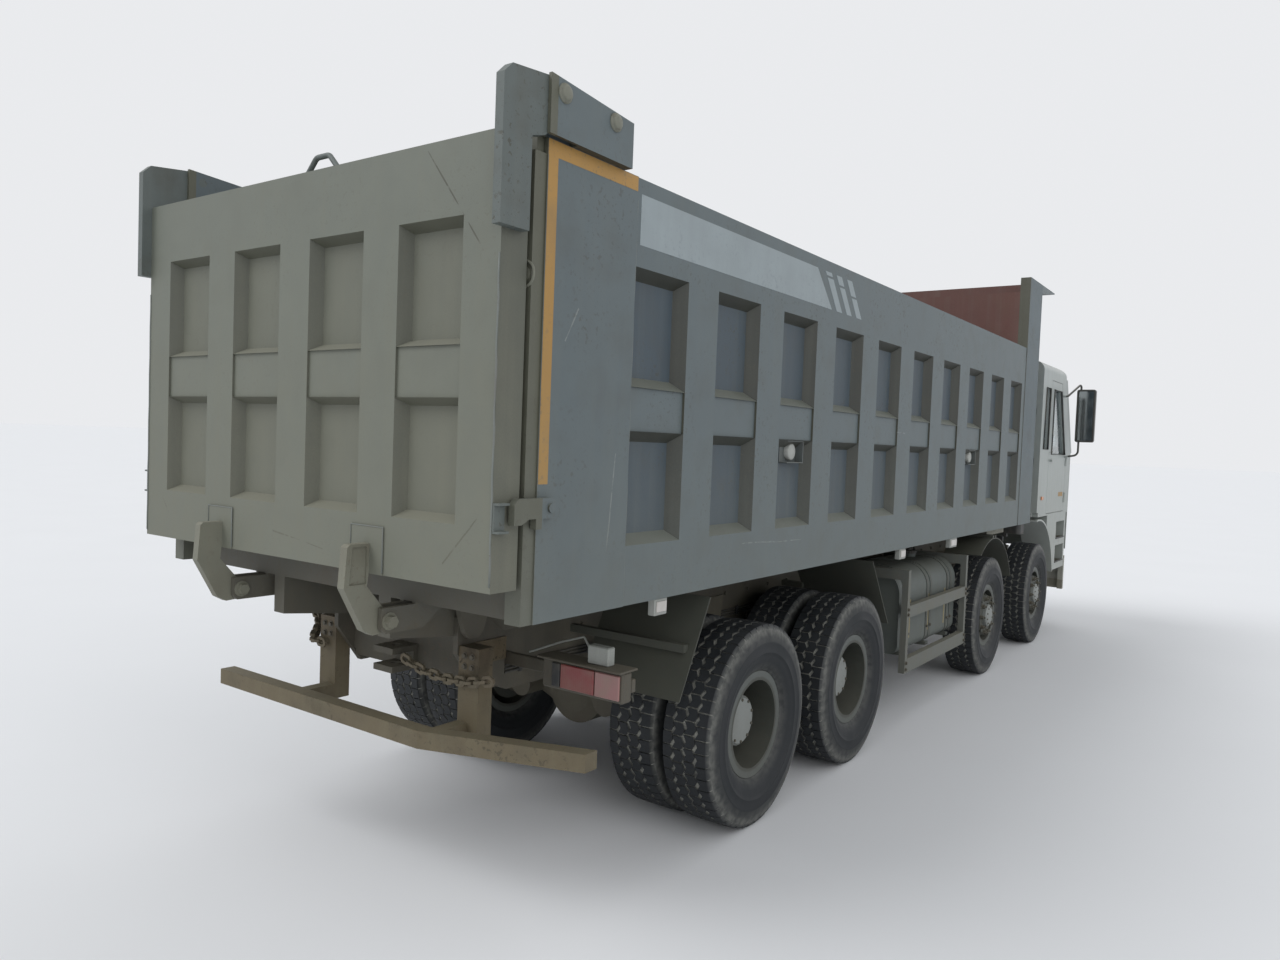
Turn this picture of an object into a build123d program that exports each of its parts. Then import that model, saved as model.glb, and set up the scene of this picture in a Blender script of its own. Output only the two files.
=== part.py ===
from build123d import *

import os
from math import cos, degrees, sin, sqrt

# Four-axle dump truck, empty and parked with its bed down.
# Frame: +X forward, +Y to the left, +Z up, in millimetres. The origin is on the
# ground, halfway between the rear tips of the tailgate hooks and the bumper.
# Distances along the truck are counted forward from the rearmost axle.

os.makedirs("parts", exist_ok=True)

# Clearances
seat_gap = 0.3
pin_gap = 0.1
slide_gap = 0.8
free_gap = 6.0

# Running gear
tyre_radius = 562.5
tyre_width = 315.0
tread_width = 262.0
sidewall_radius = 410.0
shoulder_radius = 486.0
wheel_outer_y = 1245.0
twin_gap = 35.0
tandem_spacing = 1350.0
middle_wheelbase = 3300.0
steer_spacing = 1950.0
front_overhang = 1635.0
rear_overhang = 2265.0
kingpin_y = 860.0
axle_end_y = 600.0

# Axle stations, front axle first
axle_4 = 0.0
axle_3 = tandem_spacing
axle_2 = axle_3 + middle_wheelbase
axle_1 = axle_2 + steer_spacing
overall_front = axle_1 + front_overhang
rear_axle_x = (rear_overhang - overall_front) / 2
sides = ((1, "left"), (-1, "right"))
axle_table = (
    # number, distance, steered
    (1, axle_1, True),
    (2, axle_2, True),
    (3, axle_3, False),
    (4, axle_4, False),
)

# Bed, tailgate and the hinge that carries them
hook_reach = 123.0
gate_thickness = 137.0
gate_post_gap = 80.0
gate_rear = hook_reach - rear_overhang
gate_front = gate_rear + gate_thickness
bed_rear = gate_front + gate_post_gap
bed_front = axle_1 - 588.0
bed_half_width = 1250.0
bed_wall = 100.0
inner_half = bed_half_width - bed_wall
rail_top_z = 1150.0
bed_bottom_z = rail_top_z + 245.0
floor_height = 135.0
floor_plate = 35.0
floor_top_z = bed_bottom_z + floor_height
floor_rib_top_z = floor_top_z - floor_plate
bed_height = 1827.0
side_top_z = bed_bottom_z + bed_height
front_post_rise = 723.0
front_post_top_z = side_top_z + front_post_rise
rear_post_length = 575.0
front_post_length = 526.0
front_post_x = bed_front - front_post_length
hinge_x = bed_rear + 445.0
hinge_z = rail_top_z + 70.0
hinge_pin_radius = 35.0
hinge_ear = 30.0

# Chassis frame
rail_outer_y = 430.0
rail_flange = 80.0
rail_wall = 10.0
rail_height = 300.0
rail_rear = bed_rear + 475.0
rail_front = axle_1 + 1300.0
rail_bottom_z = rail_top_z - rail_height
rail_inner_y = rail_outer_y - rail_flange
web_inner_y = rail_outer_y - rail_wall

# Cab
cab_rear = axle_1 - 150.0
cab_front_x = overall_front - 45.0
cab_half_width = 1220.0
cab_wall = 60.0
cab_floor_z = rail_top_z + 280.0
cab_floor_plate = 50.0
cab_inner_height = 1580.0
roof_height = 130.0
cab_floor_top_z = cab_floor_z + cab_floor_plate
roof_bottom_z = cab_floor_top_z + cab_inner_height
roof_top_z = roof_bottom_z + roof_height
screen_base_x = cab_front_x - 70.0
screen_rake = 460.0
screen_top_x = screen_base_x - screen_rake
screen_base_z = cab_floor_z + 745.0
lean = screen_rake / (roof_bottom_z - screen_base_z)
inner_cab_y = cab_half_width - cab_wall
door_length = 960.0
door_front = screen_base_x - 260.0
door_rear = door_front - door_length
glass = 8.0


def at(distance):
    """X of a place that lies this far ahead of the rearmost axle."""
    return rear_axle_x + distance


def block(x, y, z, mode=Mode.ADD):
    """Add or cut a block that fills three spans, X as distances from the rear axle."""
    with Locations((at(sum(x) / 2), sum(y) / 2, sum(z) / 2)):
        Box(abs(x[1] - x[0]), abs(y[1] - y[0]), abs(z[1] - z[0]), mode=mode)


def cross_plane(distance, z=0.0):
    """Upright plane across the truck, local X along +Y and local Y upward."""
    return Plane(origin=(at(distance), 0, z), x_dir=(0, 1, 0), z_dir=(1, 0, 0))


def side_plane(y):
    """Upright plane along the truck, local X forward from the rear axle, local Y up."""
    return Plane(origin=(rear_axle_x, y, 0), x_dir=(1, 0, 0), z_dir=(0, -1, 0))


def slab(y, outline, mode=Mode.ADD):
    """Add or cut a slab that fills a Y span, with a closed outline of (X, Z) points."""
    with BuildSketch(side_plane(max(y))) as profile:
        with BuildLine():
            Polyline(*outline, close=True)
        make_face()
    extrude(profile.sketch, amount=max(y) - min(y), mode=mode)


def plate(x, outline, mode=Mode.ADD):
    """Add or cut a plate that fills an X span, with a closed outline of (Y, Z) points."""
    with BuildSketch(cross_plane(min(x))) as profile:
        with BuildLine():
            Polyline(*outline, close=True)
        make_face()
    extrude(profile.sketch, amount=max(x) - min(x), mode=mode)


def pin(x, z, y, radius, mode=Mode.ADD):
    """Add or cut a round pin or bore along a Y span."""
    with BuildSketch(side_plane(max(y))) as profile:
        with Locations((x, z)):
            Circle(radius)
    extrude(profile.sketch, amount=max(y) - min(y), mode=mode)


def post(x, y, z, radius, mode=Mode.ADD):
    """Add or cut an upright round bar over a Z span."""
    with BuildSketch(Plane.XY.offset(min(z))) as profile:
        with Locations((at(x), y)):
            Circle(radius)
    extrude(profile.sketch, amount=max(z) - min(z), mode=mode)


def bar(start, end, radius):
    """Add a straight round bar between two points, X as distances."""
    first = Vector(at(start[0]), start[1], start[2])
    last = Vector(at(end[0]), end[1], end[2])
    with BuildSketch(Plane(origin=first, z_dir=last - first)) as profile:
        Circle(radius)
    extrude(profile.sketch, amount=(last - first).length)


def bent_tube(points, radius, bend):
    """Add a round tube bent along a route of points, X as distances."""
    with BuildLine() as route:
        FilletPolyline(*[(at(x), y, z) for x, y, z in points], radius=bend)
    with BuildSketch(Plane(origin=route.line @ 0, z_dir=route.line % 0)) as section:
        Circle(radius)
    sweep(section.sketch, path=route.line)


def turned(distance, outline, centre_z=tyre_radius):
    """Add a shape turned about an axle, with an outline of (Y, radius) points."""
    with BuildSketch(cross_plane(distance, centre_z)) as profile:
        with BuildLine():
            Polyline(*outline, close=True)
        make_face()
    revolve(profile.sketch, axis=Axis((at(distance), 0, centre_z), (0, 1, 0)))


def arched_sheet(centre, radius, thickness, angles, y):
    """Add a sheet bent about a cross axis, between two angles above the front."""
    with BuildSketch(side_plane(max(y))) as profile:
        with BuildLine():
            inner = CenterArc(centre, radius, angles[0], angles[1] - angles[0])
            outer = CenterArc(centre, radius + thickness, angles[0], angles[1] - angles[0])
            Line(inner @ 0, outer @ 0)
            Line(inner @ 1, outer @ 1)
        make_face()
    extrude(profile.sketch, amount=max(y) - min(y))


def leaf_pack(middle, first_z, radius, half_lengths, thickness, y, arch):
    """Stack leaves on one centre: arch 1 bows upward, arch -1 sags to its middle."""
    centre_z = first_z - arch * radius
    with BuildSketch(side_plane(max(y))) as profile:
        for index, half in enumerate(half_lengths):
            near = radius + arch * index * thickness
            swing = degrees(half / radius)
            with BuildLine():
                inner = CenterArc((middle, centre_z), near, arch * 90 - swing, 2 * swing)
                outer = CenterArc((middle, centre_z), near + arch * thickness,
                                  arch * 90 - swing, 2 * swing)
                Line(inner @ 0, outer @ 0)
                Line(inner @ 1, outer @ 1)
            make_face()
    extrude(profile.sketch, amount=max(y) - min(y))


def finish(piece, name):
    """Label a finished piece and write its file."""
    piece.part.label = name
    export_step(piece.part, f"parts/{name}.step")


# Wheels: a tyre, and a rim with its dish, brake drum, hub and cap
bead_radius = 258.0
rim_width = 216.0
rim_flange_radius = 296.0
rim_wall = 14.0
spindle_radius = 45.0
spindle_length = 200.0
drum_radius = 205.0
drum_offset = 45.0
steered_drum_offset = 90.0
hub_radius = 120.0
bolt_face_radius = 175.0
dish_inset = 50.0
steered_hub_inset = 10.0
hub_length = 200.0
cap_radius = 140.0
steered_cap_radius = 105.0
cap_depth = 45.0
cap_chamfer = 14.0
hand_hole_radius = 22.0
hand_hole_circle = 208.0
hand_hole_count = 8

outer_tyre_y = wheel_outer_y - tyre_width / 2
inner_tyre_y = outer_tyre_y - tyre_width - twin_gap
twin_middle_y = (outer_tyre_y + inner_tyre_y) / 2
bead_half = rim_width / 2 - rim_wall - seat_gap
barrel_radius = bead_radius - seat_gap
dish_root_radius = barrel_radius - rim_wall

for number, distance, steered in axle_table:
    tyre_centres = (outer_tyre_y,) if steered else (outer_tyre_y, inner_tyre_y)
    disc_y = wheel_outer_y - dish_inset if steered else twin_middle_y
    drum_y = kingpin_y + steered_drum_offset if steered else axle_end_y + drum_offset
    hub_y = wheel_outer_y - steered_hub_inset if steered else twin_middle_y + hub_length
    hub_cap = steered_cap_radius if steered else cap_radius
    drum_end = min(disc_y, outer_tyre_y + rim_wall) - rim_wall
    spindle_end = (kingpin_y if steered else axle_end_y) + spindle_length
    for side, side_name in sides:
        with BuildPart() as tyre:
            for centre in tyre_centres:
                half = tyre_width / 2
                profile = (
                    (bead_half, bead_radius),
                    (bead_half, rim_flange_radius + seat_gap),
                    (half - (half - bead_half) / 4, (rim_flange_radius + sidewall_radius) / 2),
                    (half, sidewall_radius),
                    (half - rim_wall / 4, shoulder_radius),
                    (tread_width / 2, tyre_radius),
                )
                outward = [(side * (centre + y), radius) for y, radius in profile]
                inward = [(side * (centre - y), radius) for y, radius in reversed(profile)]
                turned(distance, outward + inward)
        finish(tyre, f"tyre_{number}_{side_name}")

        with BuildPart() as rim:
            for centre in tyre_centres:
                lip = rim_width / 2
                profile = (
                    (lip - rim_wall, barrel_radius),
                    (lip - rim_wall, rim_flange_radius),
                    (lip, rim_flange_radius),
                    (lip, dish_root_radius),
                )
                outward = [(side * (centre + y), radius) for y, radius in profile]
                inward = [(side * (centre - y), radius) for y, radius in reversed(profile)]
                turned(distance, outward + inward)
                toward = 1 if disc_y > centre else -1
                root = centre if steered else centre + toward * lip
                face = disc_y - toward * rim_wall
                turned(distance, (
                    (side * root, dish_root_radius),
                    (side * (root - toward * rim_wall), dish_root_radius),
                    (side * face, bolt_face_radius),
                    (side * face, hub_radius),
                    (side * disc_y, hub_radius),
                    (side * disc_y, bolt_face_radius + rim_wall),
                ))
            turned(distance, (
                (side * drum_y, spindle_radius + pin_gap),
                (side * drum_y, drum_radius),
                (side * drum_end, drum_radius),
                (side * drum_end, hub_radius),
                (side * (hub_y - cap_depth), hub_radius),
                (side * (hub_y - cap_depth), hub_cap),
                (side * (hub_y - cap_chamfer), hub_cap),
                (side * hub_y, hub_cap - cap_chamfer),
                (side * hub_y, 0),
                (side * (spindle_end + seat_gap), 0),
                (side * (spindle_end + seat_gap), spindle_radius + pin_gap),
            ))
            # Round hand holes through the outer dish
            near = drum_end + seat_gap if steered else disc_y
            far = disc_y + rim_wall if steered else outer_tyre_y - rim_width / 2 + rim_wall
            with BuildSketch(side_plane(max(side * near, side * far))):
                with Locations((distance, tyre_radius)):
                    with PolarLocations(hand_hole_circle, hand_hole_count):
                        Circle(hand_hole_radius)
            extrude(amount=far - near, mode=Mode.SUBTRACT)
        finish(rim, f"rim_{number}_{side_name}")

# Steering knuckles, each a yoke round the axle's eye with its spindle and brake flange
kingpin_radius = 25.0
axle_eye_radius = 55.0
eye_half_height = 80.0
yoke_arm = 40.0
yoke_plate = 25.0
brake_flange_radius = 110.0
brake_flange = 12.0
yoke_plate_y = kingpin_y + axle_eye_radius + free_gap
knuckle_reach = eye_half_height + seat_gap + yoke_arm

for number, distance, steered in axle_table:
    if steered:
        for side, side_name in sides:
            plate_y = (side * yoke_plate_y, side * (yoke_plate_y + yoke_plate))
            eye_x = (distance - axle_eye_radius, distance + axle_eye_radius)
            reach_z = (tyre_radius - knuckle_reach, tyre_radius + knuckle_reach)
            with BuildPart() as knuckle:
                for up in (1, -1):
                    low = tyre_radius + up * (eye_half_height + seat_gap)
                    high = low + up * yoke_arm
                    post(distance, side * kingpin_y, (low, high), axle_eye_radius)
                    block(eye_x, (side * kingpin_y, plate_y[1]), (low, high))
                block(eye_x, plate_y, reach_z)
                pin(distance, tyre_radius, (plate_y[1], plate_y[1] - side * brake_flange),
                    brake_flange_radius)
                post(distance, side * kingpin_y, reach_z, kingpin_radius)
                pin(distance, tyre_radius, (plate_y[0], side * (kingpin_y + spindle_length)),
                    spindle_radius)
            finish(knuckle, f"knuckle_{number}_{side_name}")

# Axles: two dropped I-beams in front, two driven housings with banjo and brake chambers behind
beam_half_width = 50.0
beam_drop = 80.0
beam_height = 110.0
beam_pad_y = 520.0
beam_rim = 20.0
beam_pocket = 32.0
axle_tube_radius = 90.0
housing_radius = 150.0
housing_taper = (180.0, 360.0)
banjo_radius = 215.0
banjo_half_depth = 110.0
banjo_cover = 60.0
cover_flat = 80.0
pinion_rise = 20.0
pinion_radius = 80.0
pinion_length = 120.0
flange_radius = 150.0
flange_thickness = 20.0
chamber_radius = 80.0
chamber_length = 170.0
chamber_y = 330.0
beam_shoulder_y = beam_pad_y + beam_drop
beam_end_y = kingpin_y - axle_eye_radius / 2
beam_low_z = tyre_radius - beam_drop - beam_height / 2
beam_end_z = tyre_radius - beam_height / 2
pinion_z = tyre_radius + pinion_rise
pinion_nose = banjo_half_depth + pinion_length

with BuildPart() as axles:
    for number, distance, steered in axle_table:
        if steered:
            lower_edge = (
                (-beam_end_y, beam_end_z), (-beam_shoulder_y, beam_end_z),
                (-beam_pad_y, beam_low_z), (beam_pad_y, beam_low_z),
                (beam_shoulder_y, beam_end_z), (beam_end_y, beam_end_z),
            )
            upper_edge = [(y, z + beam_height) for y, z in reversed(lower_edge)]
            plate((distance - beam_half_width, distance + beam_half_width),
                  list(lower_edge) + upper_edge)
            pocket_low = [(y, z + beam_rim) for y, z in lower_edge[1:-1]]
            pocket_high = [(y, z + beam_height - 2 * beam_rim) for y, z in reversed(pocket_low)]
            for start in (distance - beam_half_width, distance + beam_half_width - beam_pocket):
                plate((start, start + beam_pocket), pocket_low + pocket_high, Mode.SUBTRACT)
            for side, side_name in sides:
                height = (tyre_radius - eye_half_height, tyre_radius + eye_half_height)
                post(distance, side * kingpin_y, height, axle_eye_radius)
                post(distance, side * kingpin_y, height, kingpin_radius + pin_gap, Mode.SUBTRACT)
        else:
            turned(distance, (
                (-axle_end_y, 0), (-axle_end_y, axle_tube_radius),
                (-housing_taper[1], axle_tube_radius), (-housing_taper[0], housing_radius),
                (housing_taper[0], housing_radius), (housing_taper[1], axle_tube_radius),
                (axle_end_y, axle_tube_radius), (axle_end_y, 0),
            ))
            front = distance + banjo_half_depth
            rear = distance - banjo_half_depth
            with BuildSketch(side_plane(0)):
                with BuildLine():
                    Polyline(
                        (rear - banjo_cover, tyre_radius), (front, tyre_radius),
                        (front, tyre_radius + banjo_radius), (rear, tyre_radius + banjo_radius),
                        (rear - 2 / 3 * banjo_cover, tyre_radius + 2 / 3 * banjo_radius),
                        (rear - banjo_cover, tyre_radius + cover_flat), close=True,
                    )
                make_face()
            revolve(axis=Axis((at(distance), 0, tyre_radius), (1, 0, 0)))
            bar((distance + banjo_half_depth, 0, pinion_z),
                (distance + pinion_nose, 0, pinion_z), pinion_radius)
            for side, side_name in sides:
                end = side * axle_end_y
                pin(distance, tyre_radius, (end, end - side * flange_thickness), flange_radius)
                pin(distance, tyre_radius, (end, end + side * spindle_length), spindle_radius)
                bar((distance, side * chamber_y, tyre_radius),
                    (distance - axle_tube_radius - chamber_length, side * chamber_y, tyre_radius),
                    chamber_radius)
finish(axles, "axles")

# Chassis rails, two channels with their flanges inward, cut away under the rear hinge
rail_tail = 260.0
rail_tail_rise = 110.0

with BuildPart() as frame_rails:
    for side, side_name in sides:
        with BuildSketch(cross_plane(rail_rear)):
            with Locations((side * (rail_outer_y - rail_flange / 2), rail_top_z - rail_height / 2)):
                Rectangle(rail_flange, rail_height)
            with Locations((side * (web_inner_y - rail_flange / 2),
                            rail_top_z - rail_height / 2)):
                Rectangle(rail_flange, rail_height - 2 * rail_wall, mode=Mode.SUBTRACT)
        extrude(amount=rail_front - rail_rear)
        slab((side * rail_inner_y, side * rail_outer_y), (
            (rail_rear, rail_bottom_z), (rail_rear + rail_tail, rail_bottom_z),
            (rail_rear, rail_bottom_z + rail_tail_rise),
        ), Mode.SUBTRACT)
finish(frame_rails, "frame_rails")

# Crossmembers between the webs, rear plate with the tow jaw, hinge ears, cab rests, hoist foot
member_width = 120.0
member_height = 180.0
member_wall = 12.0
member_setbacks = (rail_rear + 750.0, tandem_spacing / 2, axle_3 + 850.0, axle_2 - 950.0,
                   axle_1 - 1000.0, rail_front - 70.0)
member_middle_z = rail_top_z - rail_height / 2
end_plate = 24.0
tow_bore_radius = 25.0
tow_jaw_length = 160.0
tow_jaw_half_width = 70.0
tow_jaw_plate = 30.0
tow_jaw_z = (rail_bottom_z + 90.0, rail_bottom_z + 210.0)
ear_rear = 75.0
ear_front = 240.0
cab_rest_x = (cab_rear + 20.0, cab_rear + 100.0)
hoist_x = bed_front + 278.0
hoist_foot_z = rail_top_z - 140.0
foot_beam_half = 60.0
foot_ear_y = 90.0
foot_ear = 25.0
foot_beam_z = (rail_bottom_z + 20.0, rail_bottom_z + 90.0)

with BuildPart() as crossmembers:
    for station in member_setbacks:
        with BuildSketch(side_plane(web_inner_y)):
            with Locations((station, member_middle_z)):
                Rectangle(member_width, member_height)
            with Locations((station + member_wall, member_middle_z)):
                Rectangle(member_width, member_height - 2 * member_wall, mode=Mode.SUBTRACT)
        extrude(amount=2 * web_inner_y)
    block((rail_rear, rail_rear + end_plate), (-web_inner_y, web_inner_y),
          (rail_bottom_z + rail_tail_rise - tow_jaw_plate, rail_top_z - rail_wall))
    for jaw_z in ((tow_jaw_z[0], tow_jaw_z[0] + tow_jaw_plate),
                  (tow_jaw_z[1] - tow_jaw_plate, tow_jaw_z[1])):
        with BuildSketch(Plane.XY.offset(jaw_z[0])):
            with Locations((at(rail_rear - tow_jaw_length / 2), 0)):
                Rectangle(tow_jaw_length, 2 * tow_jaw_half_width)
        extrude(amount=tow_jaw_plate)
    block((rail_rear - tow_jaw_plate, rail_rear), (-tow_jaw_half_width, tow_jaw_half_width),
          tow_jaw_z)
    post(rail_rear - tow_jaw_length / 2, 0, tow_jaw_z, tow_bore_radius, Mode.SUBTRACT)
    for side, side_name in sides:
        # Hinge ears on the outer faces of the webs
        ear = (side * rail_outer_y, side * (rail_outer_y + hinge_ear))
        slab(ear, (
            (hinge_x - ear_rear, rail_top_z - 60), (hinge_x - ear_rear, hinge_z + 40),
            (hinge_x - 40, hinge_z + ear_rear), (hinge_x + 40, hinge_z + ear_rear),
            (hinge_x + ear_front, rail_top_z), (hinge_x + ear_front, rail_bottom_z + 40),
            (hinge_x + ear_rear, rail_bottom_z + 40),
        ))
        pin(hinge_x, hinge_z, ear, hinge_pin_radius + pin_gap, Mode.SUBTRACT)
        # Rear cab rests on the rails
        block(cab_rest_x, (side * rail_inner_y, side * rail_outer_y),
              (rail_top_z, cab_floor_z - seat_gap))
        # Hoist foot ears, bolted on the beam below
        block((hoist_x - foot_beam_half, hoist_x + foot_beam_half),
              (side * foot_ear_y, side * (foot_ear_y + foot_ear)),
              (foot_beam_z[1] + seat_gap, hoist_foot_z + foot_beam_half))
    block((hoist_x - foot_beam_half, hoist_x + foot_beam_half), (-web_inner_y, web_inner_y),
          foot_beam_z)
finish(crossmembers, "crossmembers")

# Engine, bell housing, gearbox and radiator, plain castings bolted in a row
engine_x = (axle_1 - 40.0, axle_1 + 1000.0)
engine_half_width = 300.0
engine_z = (rail_bottom_z - 90.0, cab_floor_z - 60.0)
sump_inset = 100.0
sump_depth = 120.0
bell_radius = 190.0
bell_length = 190.0
gearbox_length = 610.0
gearbox_half_width = 170.0
gearbox_z = (rail_bottom_z - 290.0, rail_bottom_z - 5.0)
shaft_z = rail_bottom_z - 150.0
output_radius = 70.0
output_length = 60.0
radiator_gap = 90.0
radiator_thickness = 60.0
radiator_half_width = 340.0
radiator_z = (rail_bottom_z + 10.0, cab_floor_z - 50.0)
fan_radius = 260.0
bell_x = engine_x[0] - seat_gap - bell_length
gearbox_x = bell_x - seat_gap - gearbox_length
radiator_x = engine_x[1] + radiator_gap

with BuildPart() as engine:
    block(engine_x, (-engine_half_width, engine_half_width), engine_z)
    block((engine_x[0] + sump_inset, engine_x[1] - sump_inset),
          (-engine_half_width + sump_inset, engine_half_width - sump_inset),
          (engine_z[0] - sump_depth, engine_z[0]))
    bar((bell_x, 0, engine_z[0] - 20), (bell_x + bell_length, 0, engine_z[0] - 20), bell_radius)
    block((gearbox_x, gearbox_x + gearbox_length), (-gearbox_half_width, gearbox_half_width),
          gearbox_z)
    bar((gearbox_x - output_length, 0, shaft_z), (gearbox_x, 0, shaft_z), output_radius)
    block((radiator_x, radiator_x + radiator_thickness),
          (-radiator_half_width, radiator_half_width), radiator_z)
    fan_z = sum(radiator_z) / 2
    bar((engine_x[1] + seat_gap, 0, fan_z), (radiator_x - seat_gap, 0, fan_z), fan_radius / 4)
    bar((radiator_x - radiator_gap / 2, 0, fan_z), (radiator_x - seat_gap, 0, fan_z), fan_radius)
finish(engine, "engine")

# Propeller shafts with their joints, and the middle bearing under a crossmember
shaft_radius = 55.0
joint_radius = 75.0
joint_length = 120.0
bearing_x = member_setbacks[3] + 40.0
bearing_half = 40.0
output_x = gearbox_x - output_length - seat_gap
front_pinion_x = axle_3 + pinion_nose + seat_gap

with BuildPart() as propshafts:
    bar((output_x, 0, shaft_z), (bearing_x, 0, shaft_z), shaft_radius)
    bar((output_x - joint_length, 0, shaft_z), (output_x, 0, shaft_z), joint_radius)
    bar((bearing_x, 0, shaft_z), (front_pinion_x + joint_length / 2, 0, pinion_z), shaft_radius)
    bar((front_pinion_x, 0, pinion_z), (front_pinion_x + joint_length, 0, pinion_z), joint_radius)
    block((bearing_x - bearing_half, bearing_x + bearing_half), (-80, 80),
          (shaft_z - 80, member_middle_z - member_height / 2 - seat_gap))
    # Short shaft between the driven axles, with a level joint at each end
    tandem_front_x = axle_3 - banjo_half_depth - banjo_cover - seat_gap
    tandem_rear_x = axle_4 + pinion_nose + seat_gap
    bar((tandem_front_x - joint_length, 0, tyre_radius), (tandem_front_x, 0, tyre_radius),
        joint_radius)
    bar((tandem_rear_x, 0, pinion_z), (tandem_rear_x + joint_length, 0, pinion_z), joint_radius)
    bar((tandem_front_x - joint_length / 2, 0, tyre_radius),
        (tandem_rear_x + joint_length / 2, 0, pinion_z), shaft_radius)
finish(propshafts, "propshafts")

# Leaf springs: a pack under each rail on each front axle, an inverted pack on the tandem
spring_width = 78.0
front_leaf = 14.0
front_leaf_lengths = (180.0, 290.0, 400.0, 510.0, 610.0, 700.0)
front_spring_radius = 2200.0
spring_eye_radius = 34.0
hanger_half = 70.0
tandem_leaf = 18.0
tandem_leaf_lengths = (765.0, 690.0, 600.0, 510.0, 420.0, 330.0, 240.0)
tandem_spring_radius = 4900.0
tandem_spring_y = 445.0
saddle_half = 110.0
saddle_plate = 16.0
trunnion_z = tyre_radius + 40.0
trunnion_radius_axle = 70.0
front_seat_z = tyre_radius - beam_drop + beam_height / 2 + seat_gap
tandem_middle = tandem_spacing / 2
tandem_slope = tandem_middle / tandem_spring_radius
tandem_seat_z = tyre_radius + axle_tube_radius / sqrt(1 - tandem_slope ** 2) + seat_gap

with BuildPart() as leaf_springs:
    for number, distance, steered in axle_table:
        if steered:
            main_radius = front_spring_radius - len(front_leaf_lengths) * front_leaf
            main_swing = front_leaf_lengths[-1] / front_spring_radius
            eye_x = main_radius * sin(main_swing)
            eye_z = front_seat_z + front_spring_radius - main_radius * cos(main_swing)
            for side, side_name in sides:
                span = (side * (rail_outer_y - spring_width), side * rail_outer_y)
                leaf_pack(distance, front_seat_z, front_spring_radius, front_leaf_lengths,
                          front_leaf, span, -1)
                for end in (-1, 1):
                    eye = distance + end * eye_x
                    pin(eye, eye_z, span, spring_eye_radius)
                    slab(span, (
                        (eye - spring_eye_radius, eye_z), (eye + spring_eye_radius, eye_z),
                        (eye + hanger_half, rail_bottom_z), (eye - hanger_half, rail_bottom_z),
                    ))
    tandem_drop = tandem_spring_radius - sqrt(tandem_spring_radius ** 2 - tandem_middle ** 2)
    saddle_z = tandem_seat_z + tandem_drop
    for side, side_name in sides:
        inner = side * tandem_spring_y
        outer = side * (tandem_spring_y + spring_width)
        leaf_pack(tandem_middle, saddle_z, tandem_spring_radius, tandem_leaf_lengths,
                  tandem_leaf, (inner, outer), 1)
        # Trunnion bracket on the rail, with the saddle under the pack and its clamp above
        slab((side * rail_outer_y, inner), (
            (tandem_middle - 2 * saddle_half, rail_top_z - 60),
            (tandem_middle - saddle_half, trunnion_z - trunnion_radius_axle),
            (tandem_middle + saddle_half, trunnion_z - trunnion_radius_axle),
            (tandem_middle + 2 * saddle_half, rail_top_z - 60),
        ))
        pin(tandem_middle, trunnion_z, (inner, outer + side * saddle_plate),
            trunnion_radius_axle)
        pack_top = saddle_z + len(tandem_leaf_lengths) * tandem_leaf
        block((tandem_middle - saddle_half, tandem_middle + saddle_half), (inner, outer),
              (trunnion_z, saddle_z + seat_gap))
        block((tandem_middle - saddle_half, tandem_middle + saddle_half), (inner, outer),
              (pack_top - seat_gap, pack_top + 2 * saddle_plate))
finish(leaf_springs, "leaf_springs")

# Fuel tank in its straps on the right, air reservoirs on the left
tank_x = (axle_3 + 1110.0, axle_2 - 770.0)
tank_y = (480.0, 1110.0)
tank_z = (rail_top_z - 630.0, rail_top_z + 30.0)
tank_top_corner = 190.0
tank_low_corner = 70.0
strap_width = 45.0
strap_pair_gap = 40.0
strap_thickness = 6.0
strap_shares = (0.12, 0.5, 0.88)
carrier_half = 35.0
carrier_depth = 50.0
filler_radius = 55.0
filler_height = 40.0
filler_setback = 330.0
reservoir_radius = 130.0
reservoir_length = 620.0
reservoir_y = 700.0
reservoir_z = rail_bottom_z - 70.0
reservoir_gap = 180.0
reservoir_band = 10.0

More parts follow.
